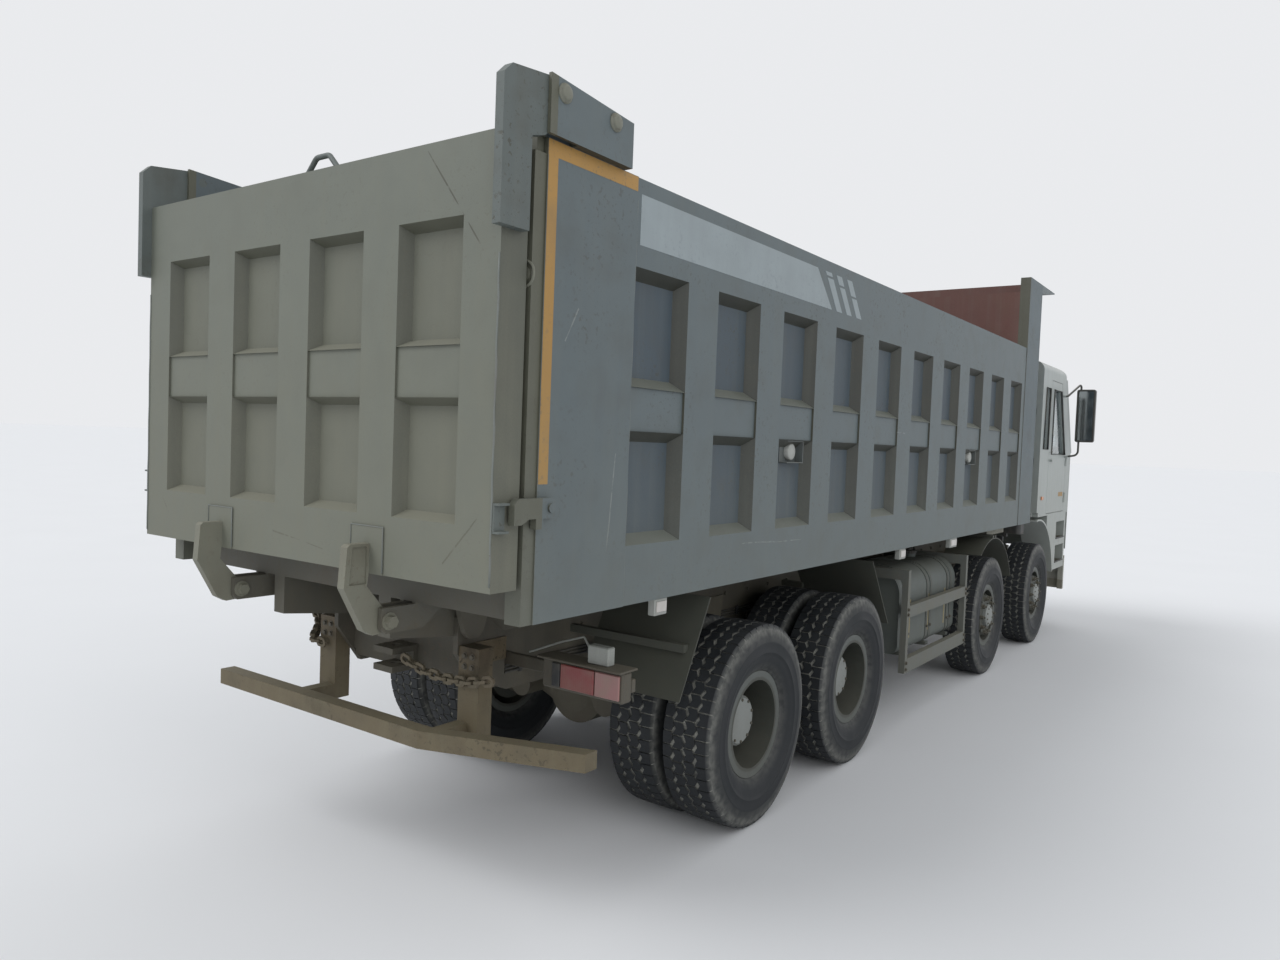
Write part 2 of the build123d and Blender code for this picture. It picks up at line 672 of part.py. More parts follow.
with BuildPart() as tanks:
    tank_sizes = (tank_y[1] - tank_y[0], tank_z[1] - tank_z[0])
    tank_middle = (-sum(tank_y) / 2, sum(tank_z) / 2)
    shells = [(tank_x[0], tank_x[1] - tank_x[0], 0.0)]
    for share in strap_shares:
        middle = tank_x[0] + share * (tank_x[1] - tank_x[0])
        for start in (middle - strap_pair_gap / 2 - strap_width, middle + strap_pair_gap / 2):
            shells.append((start, strap_width, strap_thickness))
    for start, length, grow in shells:
        with BuildSketch(cross_plane(start)) as shell:
            with Locations(tank_middle):
                Rectangle(tank_sizes[0] + 2 * grow, tank_sizes[1] + 2 * grow)
            corners = shell.vertices().sort_by(Axis.Y)
            fillet(corners[2:], radius=tank_top_corner + grow)
            fillet(shell.vertices().sort_by(Axis.Y)[:2], radius=tank_low_corner + grow)
        extrude(amount=length)
    for share in strap_shares:
        middle = tank_x[0] + share * (tank_x[1] - tank_x[0])
        plate((middle - carrier_half, middle + carrier_half), (
            (-rail_outer_y, rail_top_z - 50), (-tank_y[0] + 2, rail_top_z - 50),
            (-tank_y[0] + 2, tank_z[0] - strap_thickness + 2), (-tank_y[1], tank_z[0]),
            (-tank_y[1], tank_z[0] - carrier_depth / 2),
            (-rail_outer_y, tank_z[0] - carrier_depth),
        ))
    post(tank_x[1] - filler_setback, tank_middle[0], (tank_z[1] - 2, tank_z[1] + filler_height),
         filler_radius)
    for index in range(2):
        start = tank_x[0] + 40.0 + index * (reservoir_length + reservoir_gap)
        bar((start, reservoir_y, reservoir_z), (start + reservoir_length, reservoir_y, reservoir_z),
            reservoir_radius)
        for share in (0.25, 0.75):
            middle = start + share * reservoir_length
            bar((middle - carrier_half / 2, reservoir_y, reservoir_z),
                (middle + carrier_half / 2, reservoir_y, reservoir_z),
                reservoir_radius + reservoir_band)
            block((middle - carrier_half / 2, middle + carrier_half / 2),
                  (rail_outer_y, reservoir_y),
                  (reservoir_z + reservoir_radius - 10, reservoir_z + reservoir_radius + 30))
finish(tanks, "tanks")

# Side guards, two rails on two posts a side, hung from outriggers on the chassis
guard_x = (tank_x[0] - 60.0, tank_x[1] + 70.0)
guard_outer_y = 1200.0
guard_depth = 50.0
guard_post = 50.0
guard_rails = ((rail_bottom_z - 450.0, rail_bottom_z - 340.0),
               (rail_bottom_z - 20.0, rail_bottom_z + 70.0))
guard_wall = 6.0
outrigger_z = (rail_top_z - 30.0, rail_top_z + 50.0)

with BuildPart() as side_guards:
    for side, side_name in sides:
        outer = (side * (guard_outer_y - guard_depth), side * guard_outer_y)
        hollow = (outer[0], outer[1] - side * guard_wall)
        for rail_z in guard_rails:
            block(guard_x, outer, rail_z)
            block((guard_x[0] + guard_post, guard_x[1] - guard_post), hollow,
                  (rail_z[0] + guard_wall, rail_z[1] - guard_wall), mode=Mode.SUBTRACT)
        for start in (guard_x[0], guard_x[1] - guard_post):
            span = (start, start + guard_post)
            block(span, outer, (guard_rails[0][0], outrigger_z[1]))
            block(span, (side * rail_outer_y, outer[0]), outrigger_z)
            block(span, (side * rail_outer_y, side * (rail_outer_y + hinge_ear)),
                  (outrigger_z[0] - 120, outrigger_z[0]))
finish(side_guards, "side_guards")

# Mudguards: arches over the second axle, bent sheets ahead of and behind the tandem
arch_inner = tyre_radius + 182.5
arch_sheet = 8.0
arch_y = (900.0, 1240.0)
arch_angles = (25.0, 125.0)
flap_y = (580.0, 1200.0)
flap_rise = 185.0
flap_top_reach = 540.0
flap_foot_reach = 795.0
flap_arm = 40.0
arm_half = 15.0
arch_arm_x = (-40.0, 40.0)

with BuildPart() as mudguards:
    for side, side_name in sides:
        span = (side * arch_y[0], side * arch_y[1])
        flap = (side * flap_y[0], side * flap_y[1])
        arched_sheet((axle_2, tyre_radius), arch_inner, arch_sheet, arch_angles, span)
        arm_z = tyre_radius + arch_inner + arch_sheet / 2
        for offset in arch_arm_x:
            arm_x = (axle_2 + offset - arm_half, axle_2 + offset + arm_half)
            block(arm_x, (side * rail_outer_y, span[1]), (arm_z, arm_z + 2 * arm_half))
            block(arm_x, (side * rail_outer_y, side * (rail_outer_y + hinge_ear)),
                  (rail_top_z - 50, arm_z + 2 * arm_half))
        # Rear sheet behind the last wheel, leaning back, on an arm across its rear face
        slab(flap, (
            (axle_4 - flap_top_reach, rail_top_z + flap_rise),
            (axle_4 - flap_foot_reach, rail_bottom_z),
            (axle_4 - flap_foot_reach + arch_sheet, rail_bottom_z),
            (axle_4 - flap_top_reach + arch_sheet, rail_top_z + flap_rise),
        ))
        rear_arm = axle_4 - (flap_top_reach + flap_foot_reach) / 2
        block((rear_arm - flap_arm, rear_arm), (side * rail_outer_y, side * (flap_y[1] - flap_arm)),
              (rail_top_z - 2 * flap_arm, rail_top_z - flap_arm))
        # Front sheet, leaning forward between the third wheel and the tank
        slab(flap, (
            (axle_3 + 290, rail_top_z + flap_rise),
            (axle_3 + 290 + arch_sheet, rail_top_z + flap_rise),
            (axle_3 + 640 + arch_sheet, rail_bottom_z), (axle_3 + 640, rail_bottom_z),
        ))
        block((axle_3 + 440, axle_3 + 440 + flap_arm),
              (side * rail_outer_y, side * (flap_y[0] + flap_arm / 2)),
              (rail_top_z - 90, rail_top_z - 50))
finish(mudguards, "mudguards")

# Rear underrun bar, bent forward at its right end, on two posts from the rails
bar_z = (rail_bottom_z - 150.0, rail_bottom_z - 70.0)
bar_depth = 80.0
bar_rear = rail_rear - 325.0
bar_left_y = 1150.0
bar_bend_y = -450.0
bar_right_y = -1205.0
bar_bend_depth = 260.0
post_y = (rail_outer_y + hinge_ear, rail_outer_y + hinge_ear + 130.0)
post_x = (rail_rear - 95.0, rail_rear - 5.0)
post_wall = 8.0
cap_z = (rail_top_z - 130.0, rail_top_z - 20.0)

with BuildPart() as underrun_bar:
    with BuildSketch(Plane.XY.offset(bar_z[0])):
        with BuildLine():
            Polyline(
                (at(bar_rear), bar_left_y), (at(bar_rear + bar_depth), bar_left_y),
                (at(bar_rear + bar_depth), bar_bend_y),
                (at(bar_rear + bar_depth + bar_bend_depth), bar_right_y),
                (at(bar_rear + bar_bend_depth), bar_right_y), (at(bar_rear), bar_bend_y),
                close=True,
            )
        make_face()
    extrude(amount=bar_z[1] - bar_z[0])
    for side, side_name in sides:
        near, far = side * post_y[0], side * post_y[1]
        block(post_x, (near, far), (bar_z[0], cap_z[1]))
        block((post_x[0] + post_wall, post_x[1]), (near + side * post_wall, far - side * post_wall),
              (bar_z[1], cap_z[0]), mode=Mode.SUBTRACT)
        block((bar_rear + bar_depth, post_x[0]), (near, (near + far) / 2), bar_z)
        # Plate that bolts the post to the outside of the hinge ear
        block((post_x[0], hinge_x + ear_front), (near, near + side * post_wall), cap_z)
finish(underrun_bar, "underrun_bar")

# Rear lamps on their outrigger beams, and headlamps let into the bumper
lamp_depth = 68.0
lamp_inner_y = 760.0
lamp_outer_y = 1230.0
lamp_height = 140.0
lamp_x = rail_rear + 150.0
lamp_lens = 10.0
lamp_beam = 28.0
lamp_beam_height = 60.0
lamp_bottoms = ((1, rail_top_z - 100.0), (-1, rail_top_z - 200.0))
bumper_x = (overall_front - 170.0, overall_front)
bumper_z = (rail_bottom_z - 400.0, rail_bottom_z + 20.0)
bumper_corner = 120.0
bumper_skin = 90.0
headlamp_y = (820.0, 1080.0)
headlamp_z = (bumper_z[0] + 150.0, bumper_z[0] + 310.0)
headlamp_depth = 50.0

with BuildPart() as lamps:
    for side, bottom in lamp_bottoms:
        box_z = (bottom, bottom + lamp_height)
        block((lamp_x, lamp_x + lamp_depth), (side * lamp_inner_y, side * lamp_outer_y), box_z)
        block((lamp_x - lamp_lens, lamp_x),
              (side * (lamp_inner_y + lamp_beam_height), side * (lamp_outer_y - lamp_lens)),
              (bottom + lamp_lens, bottom + lamp_height - lamp_lens))
        middle = sum(box_z) / 2
        block((lamp_x + lamp_depth, lamp_x + lamp_depth + lamp_beam),
              (side * rail_outer_y, side * lamp_outer_y),
              (middle - lamp_beam_height / 2, middle + lamp_beam_height / 2))
        # Angle shelf over the lamp
        block((lamp_x - lamp_depth / 2, lamp_x + lamp_depth + lamp_beam),
              (side * (lamp_inner_y - lamp_lens), side * (lamp_outer_y + lamp_lens)),
              (box_z[1], box_z[1] + lamp_lens))
    for side, side_name in sides:
        block((overall_front - headlamp_depth + seat_gap, overall_front - seat_gap),
              (side * (headlamp_y[0] + seat_gap), side * (headlamp_y[1] - seat_gap)),
              (headlamp_z[0] + seat_gap, headlamp_z[1] - seat_gap))
finish(lamps, "lamps")

# Front bumper on its rail stubs, with the bearings of the cab tilt
tilt_x = cab_front_x - 50.0
tilt_z = bumper_z[1] + 35.0
tilt_pin_radius = 18.0
tilt_ear_y = 500.0
tilt_ear_half = 28.0
air_slot_half = 620.0
air_slot_height = 45.0
air_slot_pitch = 85.0
stub_z = (rail_bottom_z - 150.0, rail_top_z - 100.0)

with BuildPart() as front_bumper:
    block(bumper_x, (-cab_half_width, cab_half_width), bumper_z)
    fillet(front_bumper.edges().filter_by(Axis.Z).group_by(Axis.X)[-1], radius=bumper_corner)
    block((bumper_x[0], bumper_x[1] - bumper_skin),
          (-cab_half_width + cab_wall, cab_half_width - cab_wall),
          (bumper_z[0], bumper_z[1] - cab_wall), mode=Mode.SUBTRACT)
    with BuildSketch(cross_plane(bumper_x[1] - bumper_skin, sum(headlamp_z) / 2)):
        with GridLocations(0, air_slot_pitch, 1, 3):
            SlotOverall(2 * air_slot_half, air_slot_height)
    extrude(amount=bumper_skin, mode=Mode.SUBTRACT)
    for side, side_name in sides:
        rail_span = (side * rail_inner_y, side * rail_outer_y)
        block((overall_front - headlamp_depth, overall_front),
              (side * headlamp_y[0], side * headlamp_y[1]), headlamp_z, mode=Mode.SUBTRACT)
        block((rail_front, bumper_x[1] - bumper_skin), rail_span, (stub_z[0], bumper_z[1]))
        block((rail_front, bumper_x[0]), rail_span, stub_z)
        ear = (side * (tilt_ear_y + seat_gap), side * (tilt_ear_y + hinge_ear))
        block((tilt_x - 35, tilt_x + 35), ear, (bumper_z[1] - 20, tilt_z))
        pin(tilt_x, tilt_z, ear, 35)
        pin(tilt_x, tilt_z, ear, tilt_pin_radius + pin_gap, Mode.SUBTRACT)
finish(front_bumper, "front_bumper")

# Air intake: filter pot, riser and rain cap behind the cab on the right
intake_x = (hoist_x - 180.0, hoist_x + 40.0)
intake_y = (900.0, 1130.0)
filter_z = (rail_top_z + 100.0, rail_top_z + 550.0)
riser_inset = 40.0
riser_top_z = roof_top_z + 110.0
cap_height = 260.0
intake_corner = 50.0
carrier_z = (rail_top_z, rail_top_z + 60.0)

with BuildPart() as air_intake:
    for inset, low, high in (
        (0.0, filter_z[0], filter_z[1]),
        (riser_inset, filter_z[1], riser_top_z),
        (0.0, riser_top_z, riser_top_z + cap_height),
    ):
        with BuildSketch(Plane.XY.offset(low)):
            with Locations((at(sum(intake_x) / 2), -sum(intake_y) / 2)):
                RectangleRounded(intake_x[1] - intake_x[0] - 2 * inset,
                                 intake_y[1] - intake_y[0] - 2 * inset, intake_corner)
        extrude(amount=high - low)
    for index in range(4):
        low = riser_top_z + cap_height * (index + 1) / 6
        block((intake_x[0], intake_x[0] + riser_inset / 2), (-intake_y[0] - 60, -intake_y[1] + 60),
              (low, low + cap_height / 12), mode=Mode.SUBTRACT)
    carrier_x = (intake_x[0] + riser_inset, intake_x[0] + 2.5 * riser_inset)
    block(carrier_x, (-intake_y[0] - riser_inset, -rail_inner_y), carrier_z)
    block(carrier_x, (-intake_y[0] - riser_inset, -intake_y[0] - 2 * riser_inset),
          (carrier_z[1], filter_z[0]))
finish(air_intake, "air_intake")

# Silencer across the right rail behind the front wheel, with its tail pipe
muffler_radius = 150.0
muffler_x = (axle_1 - 1160.0, axle_1 - 740.0)
muffler_y = 840.0
muffler_z = rail_bottom_z + 50.0
muffler_dome = 30.0
pipe_radius = 45.0

with BuildPart() as muffler:
    bar((muffler_x[0], -muffler_y, muffler_z), (muffler_x[1], -muffler_y, muffler_z),
        muffler_radius)
    chamfer(muffler.edges().filter_by(GeomType.CIRCLE), length=muffler_dome)
    middle = sum(muffler_x) / 2
    for start in (muffler_x[0] + 60, muffler_x[1] - 100):
        block((start, start + 40), (-muffler_y, -rail_outer_y),
              (muffler_z + muffler_radius - 60, muffler_z + muffler_radius - 10))
    bent_tube((
        (middle, -muffler_y, muffler_z), (middle, -muffler_y, muffler_z - 330),
        (middle - 200, -muffler_y - 60, muffler_z - 400),
    ), pipe_radius, 90)
finish(muffler, "muffler")

# Tow chains hung across the rear, flat-sided links turned by a quarter one after another
link_length = 74.0
link_width = 50.0
link_wire = 14.0
link_corner = 16.0
link_lap = 1.5
chain_rest = post_x[0] - link_width / 2 - seat_gap


def chain(route):
    """Hang a run of links along a route of points, X as distances."""
    pitch = link_length - 2 * link_wire - link_lap
    turn = 0
    for start, end in zip(route, route[1:]):
        first = Vector(at(start[0]), start[1], start[2])
        last = Vector(at(end[0]), end[1], end[2])
        run = last - first
        count = max(1, round(run.length / pitch))
        across = run.cross(Vector(1, 0, 0)).normalized()
        for index in range(count):
            centre = first + run * ((index + 0.5) / count)
            flat = across if turn % 2 else across.cross(run).normalized()
            turn += 1
            with BuildSketch(Plane(origin=centre, x_dir=run, z_dir=flat)) as link:
                Rectangle(link_length, link_width)
                chamfer(link.vertices(), length=link_corner)
                with BuildSketch(mode=Mode.PRIVATE) as hole:
                    Rectangle(link_length - 2 * link_wire, link_width - 2 * link_wire)
                    chamfer(hole.vertices(), length=link_corner / 2)
                add(hole.sketch, mode=Mode.SUBTRACT)
            extrude(link.sketch, amount=link_wire / 2, both=True)


with BuildPart() as tow_chains:
    chain((
        (lamp_x - 60, 900, rail_top_z - 60), (lamp_x - 130, 760, rail_top_z - 110),
        (chain_rest, 620, rail_top_z - 150), (chain_rest, 520, rail_top_z - 160),
    ))
    chain((
        (chain_rest, -100, rail_bottom_z + 170), (chain_rest, -250, rail_bottom_z + 130),
        (chain_rest, -400, rail_bottom_z + 120), (chain_rest, -560, rail_bottom_z + 130),
        (chain_rest, -700, rail_bottom_z + 160),
    ))
finish(tow_chains, "tow_chains")

# Bed floor: plate on cross ribs and two long members, with hinge ears, pins and hook brackets
rib_width = 80.0
rib_pitch = 520.0
rib_count = int((front_post_x - bed_rear - 500.0) / rib_pitch) + 1
rear_sill = 40.0
bed_ear_y = rail_outer_y + hinge_ear + seat_gap
ear_root = 160.0
bracket_plate = 22.0
hook_thickness = 42.0
hook_y = 540.0
hook_pin_x = gate_rear + 82.0
hook_pin_z = bed_bottom_z - 62.0
hook_pin_radius = 24.0
bracket_gap = hook_thickness / 2 + free_gap
tail_drop = 180.0

with BuildPart() as bed_floor:
    block((bed_rear, front_post_x), (-inner_half, inner_half), (floor_rib_top_z, floor_top_z))
    block((bed_rear, bed_rear + rear_sill), (-inner_half, inner_half),
          (bed_bottom_z, floor_rib_top_z))
    for index in range(rib_count):
        station = bed_rear + 500.0 + rib_pitch * index
        block((station, station + rib_width), (-inner_half, inner_half),
              (bed_bottom_z, floor_rib_top_z))
    for side, side_name in sides:
        # Long member over the rail, its tail plate sloping down behind the hinge
        slab((side * rail_inner_y, side * rail_outer_y), (
            (front_post_x, rail_top_z + seat_gap), (front_post_x, floor_rib_top_z),
            (bed_rear + rear_sill, floor_rib_top_z), (bed_rear, bed_bottom_z),
            (bed_rear, bed_bottom_z - tail_drop), (hinge_x - 80, rail_top_z + 20),
            (hinge_x, rail_top_z + 20), (hinge_x + 40, rail_top_z + seat_gap),
        ))
        ear = (side * bed_ear_y, side * (bed_ear_y + hinge_ear))
        slab(ear, (
            (hinge_x - 60, hinge_z - 30), (hinge_x - 30, hinge_z - 60), (hinge_x + 30, hinge_z - 60),
            (hinge_x + 60, hinge_z - 30), (hinge_x + ear_root, floor_rib_top_z),
            (hinge_x - ear_root, floor_rib_top_z),
        ))
        pin(hinge_x, hinge_z, (side * (rail_outer_y + seat_gap), side * (bed_ear_y + hinge_ear)),
            hinge_pin_radius)
        # Brackets of the tailgate hooks under the rear sill
        for offset in (bracket_gap, -bracket_gap - bracket_plate):
            slab((side * hook_y + offset, side * hook_y + offset + bracket_plate), (
                (hook_pin_x - 40, hook_pin_z - 30), (hook_pin_x - 20, hook_pin_z - 50),
                (hook_pin_x + 180, hook_pin_z - 50), (hook_pin_x + 330, bed_bottom_z),
                (hook_pin_x + 180, bed_bottom_z + 60), (bed_rear, bed_bottom_z + 60),
                (bed_rear, bed_bottom_z - free_gap), (hook_pin_x - 40, bed_bottom_z - free_gap),
            ))
        pin(hook_pin_x, hook_pin_z,
            (side * hook_y - bracket_gap - bracket_plate, side * hook_y + bracket_gap + bracket_plate),
            hook_pin_radius)
finish(bed_floor, "bed_floor")

# Bed sides: bevelled windows between ribs, proud posts, tailgate ears and latch plates
post_proud = 6.0
window_count = 10
window_length = 430.0
window_depth = 60.0
window_draft = 37.0
last_frame = 115.0
sill_height = 260.0
mid_rail_z = bed_bottom_z + 755.0
mid_rail_height = 190.0
mid_rail_recess = 12.0
top_rail_height = 372.0
first_window_x = bed_rear + rear_post_length
window_pitch = ((front_post_x - last_frame - window_length - first_window_x)
                / (window_count - 1))
window_rows = (
    (bed_bottom_z + sill_height, mid_rail_z),
    (mid_rail_z + mid_rail_height, side_top_z - top_rail_height),
)
gate_half_width = bed_half_width - 15.0
gate_pivot_x = bed_rear + 37.0
gate_pivot_z = side_top_z + 163.0
gate_pin_radius = 22.0
arm_thickness = 40.0
ear_plate = 15.0
ear_length = 435.0
inner_ear_y = gate_half_width - ear_plate - slide_gap
outer_ear_y = gate_half_width + arm_thickness + slide_gap
latch_z = bed_bottom_z + 485.0
latch_thickness = 30.0
latch_bar_height = 77.0
latch_reach = 150.0
latch_tooth = 40.0
latch_end_x = bed_rear + 48.0
latch_boss_radius = 18.0
post_flange = 62.0
post_flange_inset = 7.0
post_flange_drop = 60.0

for side, side_name in sides:
    outer_y = side * bed_half_width
    inner_y = side * inner_half
    skin_y = side * (bed_half_width - post_proud)
    with BuildPart() as bed_side:
        block((bed_rear, bed_front), (inner_y, skin_y), (bed_bottom_z, side_top_z))
        block((bed_rear, first_window_x), (inner_y, outer_y), (bed_bottom_z, side_top_z))
        block((front_post_x, bed_front), (inner_y, outer_y), (bed_bottom_z, front_post_top_z))
        window_plane = Plane(origin=(rear_axle_x, skin_y, 0), x_dir=(1, 0, 0), z_dir=(0, -side, 0))
        with BuildSketch(window_plane):
            for row in window_rows:
                for index in range(window_count):
                    middle = first_window_x + index * window_pitch + window_length / 2
                    with Locations((middle, side * sum(row) / 2)):
                        Rectangle(window_length, row[1] - row[0])
        extrude(amount=window_depth, taper=window_draft, mode=Mode.SUBTRACT)
        with BuildSketch(window_plane):
            for index in range(window_count):
                middle = first_window_x + index * window_pitch + window_length / 2
                with Locations((middle, side * (mid_rail_z + mid_rail_height / 2))):
                    Rectangle(window_length, mid_rail_height)
        extrude(amount=mid_rail_recess, mode=Mode.SUBTRACT)
        # Tailgate ears: two plates a side with the arm between them, on a foot block
        for start in (inner_ear_y, outer_ear_y):
            ear = (side * start, side * (start + ear_plate))
            slab(ear, (
                (gate_pivot_x - 75, side_top_z), (gate_pivot_x - 75, gate_pivot_z + 55),
                (gate_pivot_x + ear_length, gate_pivot_z + 20),
                (gate_pivot_x + ear_length, side_top_z),
            ))
            pin(gate_pivot_x, gate_pivot_z, ear, gate_pin_radius + pin_gap, Mode.SUBTRACT)
        block((gate_pivot_x + 100, gate_pivot_x + ear_length),
              (side * inner_ear_y, side * (outer_ear_y + ear_plate)),
              (side_top_z, side_top_z + 60))
        # Flange down the post's rear face, clear of the closed tailgate
        block((bed_rear - post_flange, bed_rear),
              (inner_y + side * 2 * free_gap, outer_y - side * post_flange_inset),
              (bed_bottom_z, side_top_z - post_flange_drop))
        # Side latch: a bar with a round end on a boss, and a tooth down behind the catch
        latch_y = (outer_y, outer_y + side * latch_thickness)
        latch_foot_z = latch_z - latch_bar_height
        slab(latch_y, (
            (bed_rear - latch_reach, latch_foot_z - latch_tooth / 2),
            (bed_rear - latch_reach, latch_z - latch_tooth / 2),
            (bed_rear - latch_reach + latch_tooth / 2, latch_z), (latch_end_x, latch_z),
            (latch_end_x, latch_foot_z), (bed_rear - latch_reach + 2 * latch_tooth, latch_foot_z),
            (bed_rear - latch_reach + latch_tooth, latch_foot_z - latch_tooth / 2),
        ))
        latch_middle_z = latch_z - latch_bar_height / 2
        pin(latch_end_x, latch_middle_z, latch_y, latch_bar_height / 2)
        pin(latch_end_x, latch_middle_z,
            (outer_y, outer_y + side * (latch_thickness + latch_boss_radius / 2)),
            latch_boss_radius)
        block((latch_end_x - 2 * latch_tooth, latch_end_x - latch_tooth), latch_y,
              (latch_foot_z - latch_tooth, latch_foot_z))
    finish(bed_side, f"bed_side_{side_name}")

# Front wall: a plate behind boxed stiffeners, hoist trunnion ears and the visor over the cab
front_wall_drop = 145.0
front_wall_plate = 60.0
front_wall_top_z = front_post_top_z - front_wall_drop
stiffener = 90.0
stiffener_y = 400.0
middle_stiffener_z = bed_bottom_z + 855.0
header_depth = 120.0
visor_reach = 580.0
visor_tip = 12.0
visor_root = 90.0
visor_plate = 20.0
hoist_cover_radius = 118.0
trunnion_radius = 30.0
trunnion_ear_y = hoist_cover_radius + 14.0
trunnion_ear_x = (bed_front + seat_gap, hoist_x + hoist_cover_radius)
hoist_trunnion_z = 2 * hinge_z - hoist_foot_z

with BuildPart() as bed_front_wall:
    block((front_post_x, front_post_x + front_wall_plate), (-inner_half, inner_half),
          (bed_bottom_z, front_wall_top_z))
    for y in (-inner_half, -stiffener / 2 - stiffener_y, stiffener_y - stiffener / 2,
              inner_half - stiffener):
        block((front_post_x, bed_front), (y, y + stiffener), (bed_bottom_z, front_wall_top_z))
    for z in (bed_bottom_z, middle_stiffener_z, front_wall_top_z - stiffener):
        block((front_post_x, bed_front), (-inner_half, inner_half), (z, z + stiffener))
    block((bed_front - header_depth, bed_front), (-inner_half, inner_half),
          (front_wall_top_z, front_post_top_z))
    # Visor: a thin plate on gussets that taper to its front edge, seated on the posts
    visor_x = (bed_front + seat_gap, bed_front + visor_reach)
    slab((-bed_half_width, bed_half_width), (
        (visor_x[0], front_post_top_z), (visor_x[1], front_post_top_z),
        (visor_x[1], front_post_top_z - visor_tip), (visor_x[0], front_post_top_z - visor_plate),
    ))
    for y in (-bed_half_width, -stiffener_y, stiffener_y - visor_plate,
              bed_half_width - visor_plate):
        slab((y, y + visor_plate), (
            (visor_x[0], front_post_top_z - visor_plate / 2),
            (visor_x[1], front_post_top_z - visor_tip / 2),
            (visor_x[1], front_post_top_z - visor_tip), (visor_x[0], front_post_top_z - visor_root),
        ))
    for side, side_name in sides:
        ear = (side * trunnion_ear_y, side * (trunnion_ear_y + hinge_ear))
        block(trunnion_ear_x, ear, (bed_bottom_z, hoist_trunnion_z + stiffener))
        pin(hoist_x, hoist_trunnion_z, ear, trunnion_radius + pin_gap, Mode.SUBTRACT)
finish(bed_front_wall, "bed_front_wall")

# Tailgate panel with four by two bevelled windows on its rear face
gate_inner_depth = 70.0
gate_bottom_gap = 5.0
gate_bottom_z = floor_top_z + gate_bottom_gap
gate_top_z = side_top_z - 22.0
gate_columns = 4
gate_frame = 192.5
gate_rib = 215.0
gate_window_depth = 55.0
gate_window_draft = 28.0
gate_sill = 238.0
gate_mid_z = gate_bottom_z + 708.0
gate_mid_height = 197.0
gate_top_rail = 288.0
gate_mid_recess = 10.0
pad_half_width = 100.0
pad_height = 190.0
pad_thickness = 5.0
gate_window_length = ((2 * (gate_half_width - gate_frame) - (gate_columns - 1) * gate_rib)
                      / gate_columns)
gate_rows = (
    (gate_bottom_z + gate_sill, gate_mid_z),
    (gate_mid_z + gate_mid_height, gate_top_z - gate_top_rail),
)

with BuildPart() as tailgate_panel:
    block((gate_rear, gate_front), (-gate_half_width, gate_half_width), (gate_bottom_z, gate_top_z))
    block((gate_front, gate_front + gate_inner_depth),
          (-inner_half + 2 * free_gap, inner_half - 2 * free_gap),
          (gate_bottom_z, gate_top_z - 2 * free_gap))
    gate_pitch = gate_window_length + gate_rib
    for row in gate_rows:
        with BuildSketch(cross_plane(gate_rear, sum(row) / 2)):
            with GridLocations(gate_pitch, 0, gate_columns, 1):
                Rectangle(gate_window_length, row[1] - row[0])
        extrude(amount=gate_window_depth, taper=gate_window_draft, mode=Mode.SUBTRACT)
    with BuildSketch(cross_plane(gate_rear, gate_mid_z + gate_mid_height / 2)):
        with GridLocations(gate_pitch, 0, gate_columns, 1):
            Rectangle(gate_window_length, gate_mid_height)
    extrude(amount=gate_mid_recess, mode=Mode.SUBTRACT)
    for side, side_name in sides:
        block((gate_rear - pad_thickness, gate_rear),
              (side * hook_y - pad_half_width, side * hook_y + pad_half_width),
              (gate_bottom_z, gate_bottom_z + pad_height))
finish(tailgate_panel, "tailgate_panel")

# Tailgate arms up to the pivots, side latch brackets and the lifting loop on the top edge
arm_foot_z = side_top_z - 372.0
arm_rear = gate_rear - 48.0
arm_width = 150.0
arm_top = 25.0
loop_x = gate_rear + 90.0
loop_y = (-185.0, 70.0)
loop_bar = 12.0
loop_height = 92.0
loop_bend = 35.0
catch_height = 110.0
catch_length = 55.0
catch_reach = 32.0
catch_plate = 8.0

with BuildPart() as tailgate_arms:
    for side, side_name in sides:
        arm = (side * gate_half_width, side * (gate_half_width + arm_thickness))
        slab(arm, (
            (arm_rear, arm_foot_z), (arm_rear, gate_pivot_z - 15), (arm_rear + 40, gate_pivot_z + arm_top),
            (gate_pivot_x - 50, gate_pivot_z + 50), (gate_pivot_x + 50, gate_pivot_z + 50),
            (gate_pivot_x + 60, gate_pivot_z), (gate_pivot_x + 40, gate_pivot_z - 60),
            (gate_pivot_x - 82, side_top_z - 10), (arm_rear + arm_width, side_top_z - 30),
            (arm_rear + arm_width, arm_foot_z),
        ))
        pin(gate_pivot_x, gate_pivot_z,
            (side * inner_ear_y, side * (outer_ear_y + ear_plate)), gate_pin_radius)
        catch_x = (gate_rear, gate_rear + catch_length)
        catch_z = (latch_z - 125.0, latch_z - 125.0 + catch_height)
        block(catch_x, (arm[0], arm[0] + side * catch_plate), catch_z)
        for z in (catch_z[0], catch_z[1] - catch_plate):
            block(catch_x, (arm[0], arm[0] + side * catch_reach), (z, z + catch_plate))
    middle_y = sum(loop_y) / 2
    bent_tube((
        (loop_x, loop_y[1], gate_top_z + 8), (loop_x, middle_y + 45, gate_top_z + loop_height),
        (loop_x, middle_y - 45, gate_top_z + loop_height), (loop_x, loop_y[0], gate_top_z + 8),
    ), loop_bar, loop_bend)
    for y in loop_y:
        block((loop_x - 20, loop_x + 20), (y - 25, y + 25), (gate_top_z, gate_top_z + 16))
finish(tailgate_arms, "tailgate_arms")

# Bottom hooks, each a boomerang plate whose jaw takes the pin under the floor
hook_top_z = gate_bottom_z + 122.0
hook_rear = -rear_overhang
jaw = hook_pin_radius + free_gap
pocket_depth = 9.0
pocket_rim = 12.0

